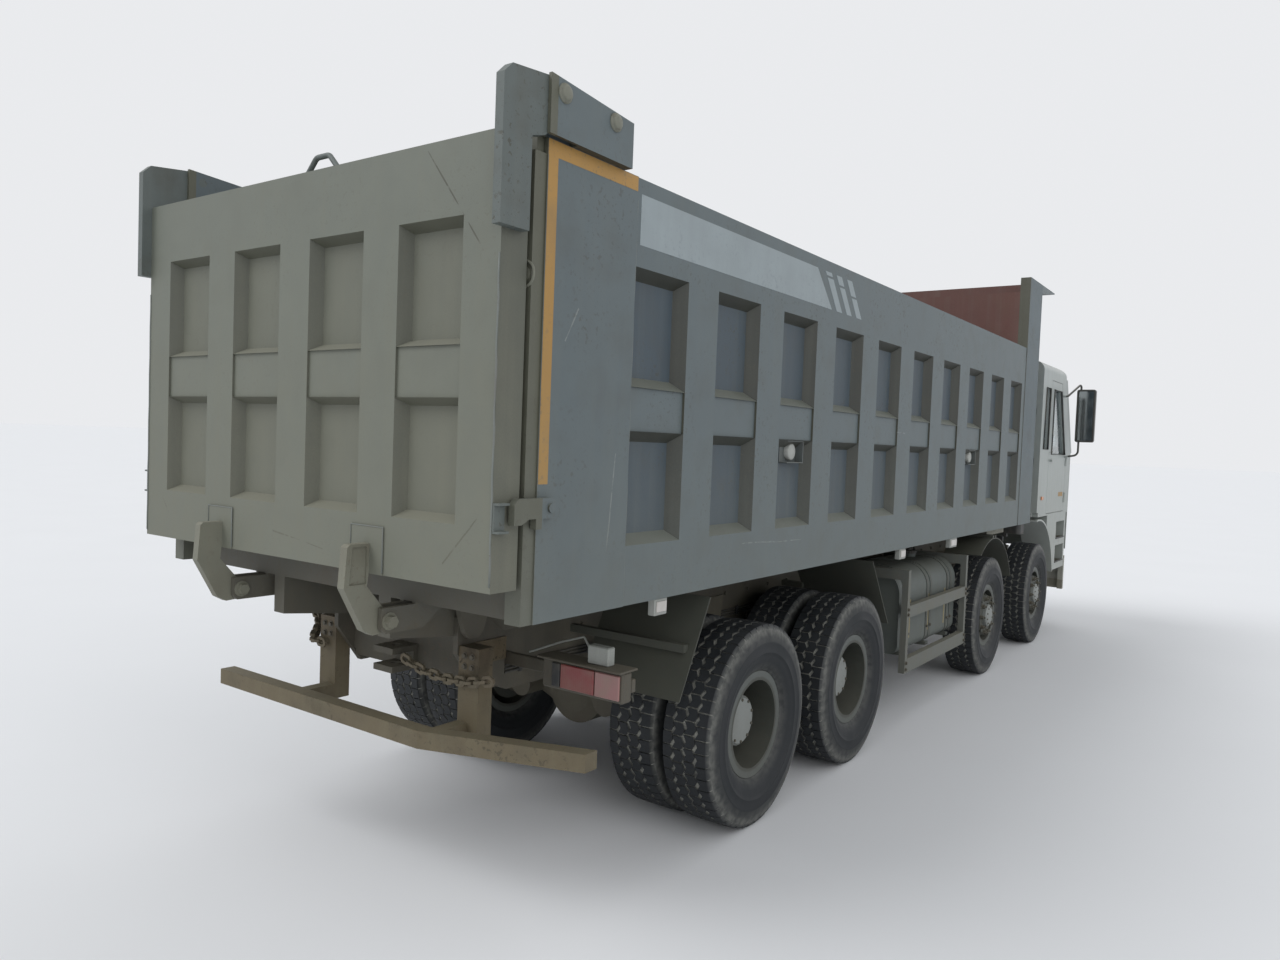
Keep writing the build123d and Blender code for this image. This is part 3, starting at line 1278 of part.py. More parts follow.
with BuildPart() as bottom_hooks:
    for side, side_name in sides:
        span = (side * hook_y - hook_thickness / 2, side * hook_y + hook_thickness / 2)
        seat_x = gate_rear - pad_thickness
        slab(span, (
            (seat_x, hook_top_z), (hook_rear + 25, hook_top_z), (hook_rear + 12, hook_top_z - 12),
            (hook_rear, hook_pin_z + 150), (hook_pin_x - 105, hook_pin_z - 30),
            (hook_pin_x - 60, hook_pin_z - 55), (hook_pin_x + 10, hook_pin_z - 50),
            (hook_pin_x + jaw, hook_pin_z - jaw - 4), (hook_pin_x - jaw, hook_pin_z - jaw),
            (hook_pin_x - jaw, hook_pin_z + jaw), (hook_pin_x, hook_pin_z + jaw + 12),
            (hook_pin_x - 95, hook_pin_z + 150), (seat_x, gate_bottom_z + 10),
        ))
        outboard = span[1] if side > 0 else span[0]
        slab((outboard, outboard - side * pocket_depth), (
            (seat_x - pocket_rim, hook_top_z - pocket_rim),
            (hook_rear + 25 + pocket_rim, hook_top_z - pocket_rim),
            (hook_rear + 2 * pocket_rim, hook_pin_z + 160),
            (seat_x - pocket_rim, hook_pin_z + 160),
        ), Mode.SUBTRACT)
finish(bottom_hooks, "bottom_hooks")

# Hoist: the cover tube hung on its trunnions, and the stages down to the foot eye
hoist_tube_wall = 9.0
hoist_cover_bottom_z = rail_top_z + 30.0
hoist_cover_top_z = roof_bottom_z + 70.0
hoist_stage_count = 4
hoist_stage_step = 20.0
collar_height = 60.0
collar_depth = 10.0
foot_eye_radius = 50.0

with BuildPart() as hoist_cover:
    cover_z = (hoist_cover_bottom_z, hoist_cover_top_z)
    post(hoist_x, 0, cover_z, hoist_cover_radius)
    for low in (hoist_cover_bottom_z, hoist_trunnion_z - collar_height,
                hoist_cover_top_z - collar_height):
        post(hoist_x, 0, (low, low + collar_height), hoist_cover_radius + collar_depth)
    post(hoist_x, 0, (hoist_cover_bottom_z, hoist_cover_top_z - hoist_stage_step),
         hoist_cover_radius - hoist_tube_wall, Mode.SUBTRACT)
    for side, side_name in sides:
        pin(hoist_x, hoist_trunnion_z,
            (side * (hoist_cover_radius - hoist_tube_wall / 2), side * (trunnion_ear_y + hinge_ear)),
            trunnion_radius)
finish(hoist_cover, "hoist_cover")

radius = hoist_cover_radius - hoist_tube_wall - slide_gap
bottom = hoist_cover_bottom_z
top = hoist_cover_top_z - 2 * hoist_stage_step
for stage in range(1, hoist_stage_count + 1):
    bottom -= hoist_stage_step
    top -= hoist_stage_step
    with BuildPart() as hoist_stage:
        post(hoist_x, 0, (bottom, top), radius)
        if stage < hoist_stage_count:
            post(hoist_x, 0, (bottom, top - hoist_stage_step / 2), radius - hoist_tube_wall,
                 Mode.SUBTRACT)
        else:
            post(hoist_x, 0, (hoist_foot_z, bottom), radius - hoist_stage_step / 2)
            pin(hoist_x, hoist_foot_z, (-foot_ear_y + free_gap, foot_ear_y - free_gap),
                foot_eye_radius)
    finish(hoist_stage, f"hoist_stage_{stage}")
    radius -= hoist_tube_wall + slide_gap

# Cab floor, with the wing and its two entry steps ahead of each front wheel
arch_radius = 840.0
wing_sheet = 20.0
wing_angles = (12.0, 98.0)
wing_inner_y = 900.0
skirt_bottom_z = cab_floor_z - 680.0
skirt_front = bumper_x[0] - 15.0
skirt_top_z = cab_floor_z - seat_gap
step_x = (axle_1 + 920.0, skirt_front - 70.0)
step_depth = 130.0
step_rows = ((cab_floor_z - 590.0, cab_floor_z - 390.0), (cab_floor_z - 300.0, cab_floor_z - 100.0))

with BuildPart() as cab_floor:
    block((cab_rear, screen_base_x), (-inner_cab_y, inner_cab_y), (cab_floor_z, cab_floor_top_z))
    for side, side_name in sides:
        span = (side * wing_inner_y, side * cab_half_width)
        block((axle_1 + 400, skirt_front), span, (skirt_bottom_z, skirt_top_z))
        for row in step_rows:
            block(step_x, (span[1], span[1] - side * step_depth), row, mode=Mode.SUBTRACT)
    pin(axle_1, tyre_radius, (-cab_half_width, cab_half_width), arch_radius, Mode.SUBTRACT)
    for side, side_name in sides:
        arched_sheet((axle_1, tyre_radius), arch_radius - wing_sheet, wing_sheet, wing_angles,
                     (side * wing_inner_y, side * cab_half_width))
finish(cab_floor, "cab_floor")

# Cab back wall with two pressed stiffening ribs
back_rib = 12.0
back_rib_height = 60.0

with BuildPart() as cab_back:
    block((cab_rear, cab_rear + cab_wall), (-cab_half_width, cab_half_width),
          (cab_floor_top_z, roof_bottom_z))
    for share in (0.35, 0.7):
        z = cab_floor_top_z + share * cab_inner_height
        block((cab_rear, cab_rear + back_rib), (-inner_cab_y, inner_cab_y), (z, z + back_rib_height),
              mode=Mode.SUBTRACT)
finish(cab_back, "cab_back")

# Cab sides with the door openings, quarter windows and the body halves of the door hinges
door_gap = 6.0
door_top_gap = 60.0
door_sill = 20.0
door_top_z = roof_bottom_z - door_top_gap
door_bottom_z = cab_floor_z + door_sill
door_slope_top = door_front - lean * (door_top_z - screen_base_z)
quarter_x = (cab_rear + 130.0, door_rear - 80.0)
quarter_z = (screen_base_z + 25.0, door_top_z - 100.0)
quarter_lean = 40.0
hinge_radius = 13.0
hinge_pin = 5.0
hinge_leaf = 34.0
hinge_post = 28.0
knuckle_height = 60.0
door_hinge_zs = (cab_floor_z + 130.0, cab_floor_z + 580.0)
door_hinge_x = door_front - 3.0
door_hinge_y = cab_half_width + 2.0

with BuildPart() as cab_sides:
    for side, side_name in sides:
        span = (side * inner_cab_y, side * cab_half_width)
        slab(span, (
            (cab_rear + cab_wall, cab_floor_z), (screen_base_x - 10, cab_floor_z),
            (screen_base_x - 10, screen_base_z), (screen_top_x - 10, roof_bottom_z),
            (cab_rear + cab_wall, roof_bottom_z),
        ))
        slab(span, (
            (door_rear, door_bottom_z), (door_front, door_bottom_z), (door_front, screen_base_z),
            (door_slope_top, door_top_z), (door_rear, door_top_z),
        ), Mode.SUBTRACT)
        slab(span, (
            (quarter_x[0], quarter_z[0]), (quarter_x[1], quarter_z[0]),
            (quarter_x[1], quarter_z[1]), (quarter_x[0] + quarter_lean, quarter_z[1]),
        ), Mode.SUBTRACT)
        for z in door_hinge_zs:
            # Relief for the door's barrel, then the body's barrel above it with the pin
            post(door_hinge_x, side * door_hinge_y, (z - free_gap, z + 2 * knuckle_height + free_gap),
                 hinge_radius + 2, Mode.SUBTRACT)
            upper = (z + knuckle_height + seat_gap, z + 2 * knuckle_height)
            post(door_hinge_x, side * door_hinge_y, upper, hinge_radius)
            block((door_hinge_x, door_hinge_x + hinge_leaf),
                  (side * (door_hinge_y - 2), side * (door_hinge_y + free_gap)), upper)
            post(door_hinge_x, side * door_hinge_y, (z, upper[1]), hinge_pin)
finish(cab_sides, "cab_sides")

# Cab roof, a shell with rounded edges and a roof hatch
roof_corner = 110.0
roof_front_edge = 60.0
roof_shell = 40.0
hatch_half = 300.0
hatch_rise = 22.0
frame_depth = 70.0

with BuildPart() as cab_roof:
    with BuildSketch(cross_plane(cab_rear, (roof_bottom_z + roof_top_z) / 2)) as roof_section:
        Rectangle(2 * cab_half_width, roof_height)
        fillet(roof_section.vertices().group_by(Axis.Y)[-1], radius=roof_corner)
    extrude(amount=screen_top_x - cab_rear)
    slab((-cab_half_width, cab_half_width), (
        (screen_top_x, roof_top_z - roof_front_edge), (screen_top_x, roof_top_z),
        (screen_top_x - 2 * roof_front_edge, roof_top_z),
    ), Mode.SUBTRACT)
    block((cab_rear + cab_wall, screen_top_x - 2 * cab_wall),
          (-inner_cab_y + cab_wall, inner_cab_y - cab_wall),
          (roof_bottom_z, roof_top_z - roof_shell), mode=Mode.SUBTRACT)
    hatch_x = (cab_rear + screen_top_x) / 2
    block((hatch_x - hatch_half, hatch_x + hatch_half), (-hatch_half, hatch_half),
          (roof_top_z, roof_top_z + hatch_rise))
finish(cab_roof, "cab_roof")

# Front panel, curved across, with its grille; the leaning screen frame stands on it
front_panel_bottom_z = cab_floor_z - 470.0
panel_bow = 55.0
grille_half = 640.0
grille_slot = 34.0
grille_pitch = 68.0
grille_rows = 6
screen_half_width = 1060.0
screen_margin = 80.0

with BuildPart() as cab_front:
    with BuildSketch(Plane.XY.offset(front_panel_bottom_z)):
        with BuildLine():
            corner_x = cab_front_x - panel_bow + 5.0
            ThreePointArc((at(corner_x), -cab_half_width), (at(cab_front_x), 0),
                          (at(corner_x), cab_half_width))
            Polyline((at(corner_x), cab_half_width), (at(screen_base_x), cab_half_width),
                     (at(screen_base_x), -cab_half_width), (at(corner_x), -cab_half_width))
        make_face()
    extrude(amount=screen_base_z - front_panel_bottom_z)
    grille_z = front_panel_bottom_z + 190.0 + (grille_rows - 1) * grille_pitch / 2
    with BuildSketch(cross_plane(screen_base_x, grille_z)):
        with GridLocations(grille_half + grille_slot, grille_pitch, 2, grille_rows):
            SlotOverall(grille_half, grille_slot)
    extrude(amount=cab_front_x - screen_base_x, mode=Mode.SUBTRACT)
    for side, side_name in sides:
        ear = (side * (tilt_ear_y - hinge_ear), side * tilt_ear_y)
        slab(ear, ((tilt_x - tilt_ear_half, tilt_z), (tilt_x + tilt_ear_half, tilt_z),
                   (screen_base_x + 20, front_panel_bottom_z + 100),
                   (screen_base_x + 1, front_panel_bottom_z + 100),
                   (tilt_x - tilt_ear_half, front_panel_bottom_z)))
        pin(tilt_x, tilt_z, ear, tilt_ear_half)
        pin(tilt_x, tilt_z, (side * (tilt_ear_y - hinge_ear), side * (tilt_ear_y + hinge_ear)),
            tilt_pin_radius)
    # Screen frame, seated on the panel
    low_x, low_z = screen_base_x - lean * seat_gap, screen_base_z + seat_gap
    slab((-cab_half_width, cab_half_width), (
        (low_x, low_z), (low_x + frame_depth, low_z),
        (screen_top_x + frame_depth, roof_bottom_z), (screen_top_x, roof_bottom_z),
    ))
    sill_x = screen_base_x - lean * screen_margin
    head_x = screen_top_x + lean * screen_margin
    slab((-screen_half_width, screen_half_width), (
        (sill_x - 2 * frame_depth, screen_base_z + screen_margin),
        (sill_x + 2 * frame_depth, screen_base_z + screen_margin),
        (head_x + 2 * frame_depth, roof_bottom_z - screen_margin),
        (head_x - 2 * frame_depth, roof_bottom_z - screen_margin),
    ), Mode.SUBTRACT)
finish(cab_front, "cab_front")

glass_inset = 30.0

with BuildPart() as windscreen:
    slab((-screen_half_width + seat_gap, screen_half_width - seat_gap), (
        (sill_x + glass_inset, screen_base_z + screen_margin + seat_gap),
        (sill_x + glass_inset + glass, screen_base_z + screen_margin + seat_gap),
        (head_x + glass_inset + glass, roof_bottom_z - screen_margin - seat_gap),
        (head_x + glass_inset, roof_bottom_z - screen_margin - seat_gap),
    ))
finish(windscreen, "windscreen")

# Dashboard, and the steering column with its wheel on the left
dash_rear = screen_base_x - 420.0
dash_z = (cab_floor_z + 370.0, cab_floor_z + 690.0)
dash_end_gap = 20.0
dash_brow = 90.0
column_y = 560.0
column_radius = 30.0
column_foot = (dash_rear - 5.0, dash_z[0] + 130.0)
column_head = (dash_rear - 275.0, dash_z[0] + 341.0)
steering_wheel_radius = 225.0
steering_rim = 15.0
spoke_width = 40.0

with BuildPart() as dashboard:
    slab((-inner_cab_y + dash_end_gap, inner_cab_y - dash_end_gap), (
        (dash_rear + dash_brow, dash_z[0]), (screen_base_x - seat_gap, dash_z[0]),
        (screen_base_x - seat_gap, dash_z[1]), (dash_rear + dash_brow, dash_z[1]),
        (dash_rear, dash_z[1] - dash_brow), (dash_rear, dash_z[0] + dash_brow),
    ))
    bar((column_foot[0], column_y, column_foot[1]), (column_head[0], column_y, column_head[1]),
        column_radius)
    wheel_axis = Vector(column_head[0] - column_foot[0], 0, column_head[1] - column_foot[1])
    hub = Vector(at(column_head[0]), column_y, column_head[1]) - wheel_axis.normalized() * steering_rim
    with BuildSketch(Plane(origin=hub, z_dir=wheel_axis)):
        Circle(steering_wheel_radius)
        Circle(steering_wheel_radius - 2 * steering_rim, mode=Mode.SUBTRACT)
        Rectangle(2 * steering_wheel_radius - 2 * steering_rim, spoke_width)
        Circle(2 * spoke_width)
    extrude(amount=2 * steering_rim)
finish(dashboard, "dashboard")

# Seats: plinth, cushion and back with a headrest
seat_y = (310.0, 810.0)
seat_rear = cab_rear + 190.0
plinth_inset = 20.0
cushion_length = 590.0
cushion_z = (cab_floor_z + 270.0, cab_floor_z + 410.0)
back_thickness = 140.0
back_height = 560.0
seat_corner = 40.0
headrest_height = 170.0

with BuildPart() as seats:
    for side, side_name in sides:
        wide = (side * seat_y[0], side * seat_y[1])
        narrow = (side * (seat_y[0] + plinth_inset), side * (seat_y[1] - plinth_inset))
        block((seat_rear + 110, seat_rear + 510), narrow, (cab_floor_top_z, cushion_z[0] - seat_gap))
        with BuildSketch(side_plane(max(wide))) as cushion:
            with BuildLine():
                Polyline(
                    (seat_rear, cushion_z[0]), (seat_rear + cushion_length, cushion_z[0]),
                    (seat_rear + cushion_length, cushion_z[1]),
                    (seat_rear + back_thickness, cushion_z[1]),
                    (seat_rear + back_thickness - 30, cushion_z[1] + back_height),
                    (seat_rear - 30, cushion_z[1] + back_height), close=True,
                )
            make_face()
            fillet(cushion.vertices(), radius=seat_corner)
        extrude(amount=abs(wide[1] - wide[0]))
        rest_z = cushion_z[1] + back_height + seat_gap
        block((seat_rear - 20, seat_rear + back_thickness - 50),
              (side * (seat_y[0] + 130), side * (seat_y[1] - 130)),
              (rest_z, rest_z + headrest_height))
finish(seats, "seats")

# Doors with their window openings, hinge barrels, handles, mirrors and glass
mirror_y = (1330.0, 1540.0)
mirror_x = (door_front - 120.0, door_front - 60.0)
mirror_z = (screen_base_z + 135.0, screen_base_z + 775.0)
mirror_corner = 25.0
mirror_rim = 18.0
mirror_recess = 8.0
arm_radius = 12.0
arm_bend = 60.0
window_x = (door_rear + 120.0, door_front - 100.0)
window_z = (screen_base_z - 25.0, door_top_z - 100.0)
window_slope = lean * (window_z[1] - screen_base_z)
window_outline = (
    (window_x[0], window_z[0]), (window_x[1], window_z[0]),
    (window_x[1] - window_slope + 20, window_z[1]), (window_x[0], window_z[1]),
)
handle_length = 150.0
handle_z = screen_base_z - 115.0
handle_reach = 30.0

for side, side_name in sides:
    span = (side * inner_cab_y, side * cab_half_width)
    outer_y = side * cab_half_width
    with BuildPart() as door:
        slab(span, (
            (door_rear + door_gap, door_bottom_z + door_gap),
            (door_front - door_gap, door_bottom_z + door_gap),
            (door_front - door_gap, screen_base_z - door_gap * lean),
            (door_slope_top - door_gap * (1 + lean), door_top_z - door_gap),
            (door_rear + door_gap, door_top_z - door_gap),
        ))
        slab(span, window_outline, Mode.SUBTRACT)
        for z in door_hinge_zs:
            # Barrel below the body's own, and a cut for the body's barrel
            post(door_hinge_x, side * door_hinge_y, (z + knuckle_height, z + 2 * knuckle_height + free_gap),
                 hinge_radius + 2, Mode.SUBTRACT)
            post(door_hinge_x, side * door_hinge_y, (z, z + knuckle_height), hinge_radius)
            block((door_hinge_x - hinge_leaf, door_hinge_x),
                  (side * (door_hinge_y - 4), side * (door_hinge_y + free_gap)), (z, z + knuckle_height))
            post(door_hinge_x, side * door_hinge_y, (z, z + knuckle_height), hinge_pin + pin_gap,
                 Mode.SUBTRACT)
        # Handle at the rear edge
        block((door_rear + 50, door_rear + 50 + handle_length), (outer_y, outer_y + side * handle_reach),
              (handle_z, handle_z + 25))
        block((door_rear + 80, door_rear + 20 + handle_length),
              (outer_y, outer_y + side * (handle_reach - 12)), (handle_z, handle_z + 25),
              mode=Mode.SUBTRACT)
        # Mirror housing with its glass let in, on an upper and a lower arm
        with BuildSketch(cross_plane(mirror_x[0], sum(mirror_z) / 2)):
            with Locations((side * sum(mirror_y) / 2, 0)):
                RectangleRounded(mirror_y[1] - mirror_y[0], mirror_z[1] - mirror_z[0], mirror_corner)
        extrude(amount=mirror_x[1] - mirror_x[0])
        block((mirror_x[0], mirror_x[0] + mirror_recess),
              (side * (mirror_y[0] + mirror_rim), side * (mirror_y[1] - mirror_rim)),
              (mirror_z[0] + mirror_rim, mirror_z[1] - mirror_rim), mode=Mode.SUBTRACT)
        arm_x = sum(mirror_x) / 2
        stem_y = side * (mirror_y[0] + 40)
        top_x = door_front - lean * (mirror_z[1] - 100 - screen_base_z) - 45
        bent_tube((
            (top_x, side * (cab_half_width - 20), mirror_z[1] - 100),
            (top_x, side * (cab_half_width + 60), mirror_z[1] - 100),
            (arm_x, stem_y, mirror_z[1] + 70), (arm_x, stem_y, mirror_z[1] - 20),
        ), arm_radius, arm_bend / 2)
        bent_tube((
            (arm_x, side * (cab_half_width - 20), mirror_z[0] - 190),
            (arm_x, stem_y, mirror_z[0] - 160), (arm_x, stem_y, mirror_z[0] + 20),
        ), arm_radius, arm_bend)
    finish(door, f"door_{side_name}")
    with BuildPart() as door_glass:
        middle = side * (inner_cab_y + cab_wall / 2)
        slab((middle - glass / 2, middle + glass / 2), (
            (window_x[0] + seat_gap, window_z[0] + seat_gap),
            (window_x[1] - 3 * seat_gap, window_z[0] + seat_gap),
            (window_x[1] - window_slope + 20 - 2 * seat_gap, window_z[1] - seat_gap),
            (window_x[0] + seat_gap, window_z[1] - seat_gap),
        ))
    finish(door_glass, f"door_glass_{side_name}")
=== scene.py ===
"""Finishes, trim, camera and light of a four-axle dump truck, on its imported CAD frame.

Lengths are in metres and every piece stands in the frame of the CAD model: +X forward,
+Y to the truck's left, +Z up, the origin on the ground.
"""

from __future__ import annotations

import logging
import math
from dataclasses import dataclass, replace
from enum import Enum
from itertools import product
from typing import Any, Iterable, Sequence

import bmesh
import bpy
from mathutils import Matrix, Vector


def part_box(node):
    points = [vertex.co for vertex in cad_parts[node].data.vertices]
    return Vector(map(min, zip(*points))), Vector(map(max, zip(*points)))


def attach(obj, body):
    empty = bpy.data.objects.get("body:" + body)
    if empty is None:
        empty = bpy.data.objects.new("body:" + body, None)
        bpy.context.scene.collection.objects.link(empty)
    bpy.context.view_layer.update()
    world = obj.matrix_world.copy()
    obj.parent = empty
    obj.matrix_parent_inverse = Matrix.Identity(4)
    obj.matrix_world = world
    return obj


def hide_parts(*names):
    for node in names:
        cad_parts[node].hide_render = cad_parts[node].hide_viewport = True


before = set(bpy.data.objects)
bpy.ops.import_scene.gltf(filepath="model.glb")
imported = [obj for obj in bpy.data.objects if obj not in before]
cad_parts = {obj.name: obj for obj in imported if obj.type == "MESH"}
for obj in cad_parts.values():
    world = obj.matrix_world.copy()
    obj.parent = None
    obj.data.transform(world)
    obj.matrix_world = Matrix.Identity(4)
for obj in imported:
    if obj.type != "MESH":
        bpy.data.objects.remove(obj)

LOG = logging.getLogger("dump_truck")
Point = tuple[float, float, float]
Flat = tuple[float, float]
Colour = tuple[float, float, float, float]
Face = tuple[int, ...]
SIDES: tuple[tuple[int, str], ...] = ((1, "left"), (-1, "right"))
AXLE_X: dict[int, float] = {1: 3.615, 2: 1.665, 3: -1.635, 4: -2.985}
AXLE_Z = 0.5625
CAB_LEAN = 460 / 885
PAINT_RELIEF = 0.003
SCRAPE_HALF_WIDTH = 0.0028
SOCKETS = {kind.lower(): "NodeSocket" + kind for kind in (
    "Float", "Color", "Vector", "Int", "Object", "Material", "Geometry")}


class Slot(Enum):
    """Material slots of the record, one named with each new piece; no step reads them."""

    BED = "bed_paint"
    GATE = "gate_dust"
    CAB = "cab_paint"
    FRAME = "frame_steel"
    TYRE = "tyre_rubber"
    RIM = "rim_steel"
    TANK = "tank_steel"
    PLASTIC = "black_plastic"
    LAMP = "lamp_plastic"
    GLASS = "glazing"
    BRIGHT = "bright_steel"
    SEAT = "seat_cloth"


def tone(red: int, green: int, blue: int) -> Colour:
    """Turn a display colour, 0 to 255, into the linear colour that a shader takes."""
    def linear(value: int) -> float:
        """Linear share of one channel."""
        share = value / 255
        return share / 12.92 if share <= 0.04045 else ((share + 0.055) / 1.055) ** 2.4

    return (linear(red), linear(green), linear(blue), 1.0)


class NodeSheet:
    """One node tree while it is laid out."""

    def __init__(self, tree: bpy.types.NodeTree) -> None:
        """Keep the tree that the nodes go into."""
        self.tree = tree

    @classmethod
    def start(cls, kind: str, name: str, inputs: dict[str, str],
              outputs: dict[str, str]) -> "NodeSheet":
        """Start a node group with named sockets.

        Args:
            kind: Blender's name of the tree's type.
            name: Name of the group.
            inputs: Kind of each input by its name.
            outputs: Kind of each output by its name.

        Returns:
            The sheet of the new group.
        """
        tree = bpy.data.node_groups.new(name, kind)
        for way, sockets in (("INPUT", inputs), ("OUTPUT", outputs)):
            for label, socket in sockets.items():
                tree.interface.new_socket(label, in_out=way, socket_type=SOCKETS[socket])
        return cls(tree)

    def add(self, kind: str, feeds: dict[Any, Any] | None = None,
            **settings: Any) -> bpy.types.Node:
        """Add a node.

        Args:
            kind: Blender's name of the node's type.
            feeds: Values or sockets for its inputs, by name or number.
            **settings: Properties of the node.

        Returns:
            The new node.
        """
        node = self.tree.nodes.new(kind)
        for key, value in settings.items():
            setattr(node, key, value)
        for key, value in (feeds or {}).items():
            if isinstance(value, bpy.types.NodeSocket):
                self.tree.links.new(value, node.inputs[key])
            else:
                node.inputs[key].default_value = value
        return node

    def maths(self, operation: str, *values: Any, clamp: bool = False) -> bpy.types.NodeSocket:
        """Work out one step of arithmetic.

        Args:
            operation: Blender's name of the step.
            *values: One to three numbers or sockets.
            clamp: Hold the result between 0 and 1.

        Returns:
            The result's socket.
        """
        node = self.add("ShaderNodeMath", dict(enumerate(values)), operation=operation)
        node.use_clamp = clamp
        return node.outputs[0]

    def times(self, first: Any, second: Any, clamp: bool = False) -> bpy.types.NodeSocket:
        """Multiply two values."""
        return self.maths("MULTIPLY", first, second, clamp=clamp)

    def plus(self, first: Any, second: Any, clamp: bool = False) -> bpy.types.NodeSocket:
        """Add two values."""
        return self.maths("ADD", first, second, clamp=clamp)

    def both(self, value: Any, low: Any, high: Any) -> bpy.types.NodeSocket:
        """Return 1 where a value lies between two others, and 0 elsewhere."""
        return self.times(self.maths("GREATER_THAN", value, low),
                          self.maths("LESS_THAN", value, high))

    def vectors(self, operation: str, feeds: dict[Any, Any]) -> Any:
        """Work out one step of vector arithmetic and return its outputs."""
        return self.add("ShaderNodeVectorMath", feeds, operation=operation).outputs

    def split(self, vector: Any) -> Any:
        """Return the three parts of a vector."""
        return self.add("ShaderNodeSeparateXYZ", {0: vector}).outputs

    def group(self, tree: bpy.types.NodeTree, feeds: dict[str, Any]) -> Any:
        """Use a shader group and return its outputs."""
        return self.add("ShaderNodeGroup", feeds, node_tree=tree).outputs

    def blend(self, share: Any, first: Any, second: Any) -> bpy.types.NodeSocket:
        """Mix two colours and return the result's socket."""
        node = self.add("ShaderNodeMix", {0: share, 6: first, 7: second}, data_type="RGBA")
        return node.outputs[2]

    def ramp(self, value: Any, low: Any, high: Any) -> bpy.types.NodeSocket:
        """Map a value from 0 at low to 1 at high, held there."""
        return self.add("ShaderNodeMapRange", {0: value, 1: low, 2: high}).outputs[0]

    def noise(self, place: Any, scale: Any, detail: float = 3.0) -> bpy.types.NodeSocket:
        """Cloudy noise over a place, about 0.5 on average."""
        node = self.add("ShaderNodeTexNoise", {"Vector": place, "Scale": scale, "Detail": detail})
        return node.outputs[0]

    def clouds(self, place: Any, scale: float, detail: float, low: float,
               high: float) -> bpy.types.NodeSocket:
        """Noise mapped from 0 at low to 1 at high."""
        return self.ramp(self.noise(place, scale, detail), low, high)

    def surface(self, height: Any, strength: float, depth: float, **inputs: Any) -> None:
        """Close a material with its shader.

        Args:
            height: Relief of the surface, or None for a smooth one.
            strength: Strength of the relief.
            depth: Depth of the relief.
            **inputs: The shader's inputs, with _ for a space in their names.
        """
        feeds = {key.replace("_", " "): value for key, value in inputs.items()}
        if height is not None:
            feeds["Normal"] = self.add("ShaderNodeBump", {
                "Height": height, "Strength": strength, "Distance": depth}).outputs[0]
        shader = self.add("ShaderNodeBsdfPrincipled", feeds)
        self.add("ShaderNodeOutputMaterial", {0: shader.outputs[0]})


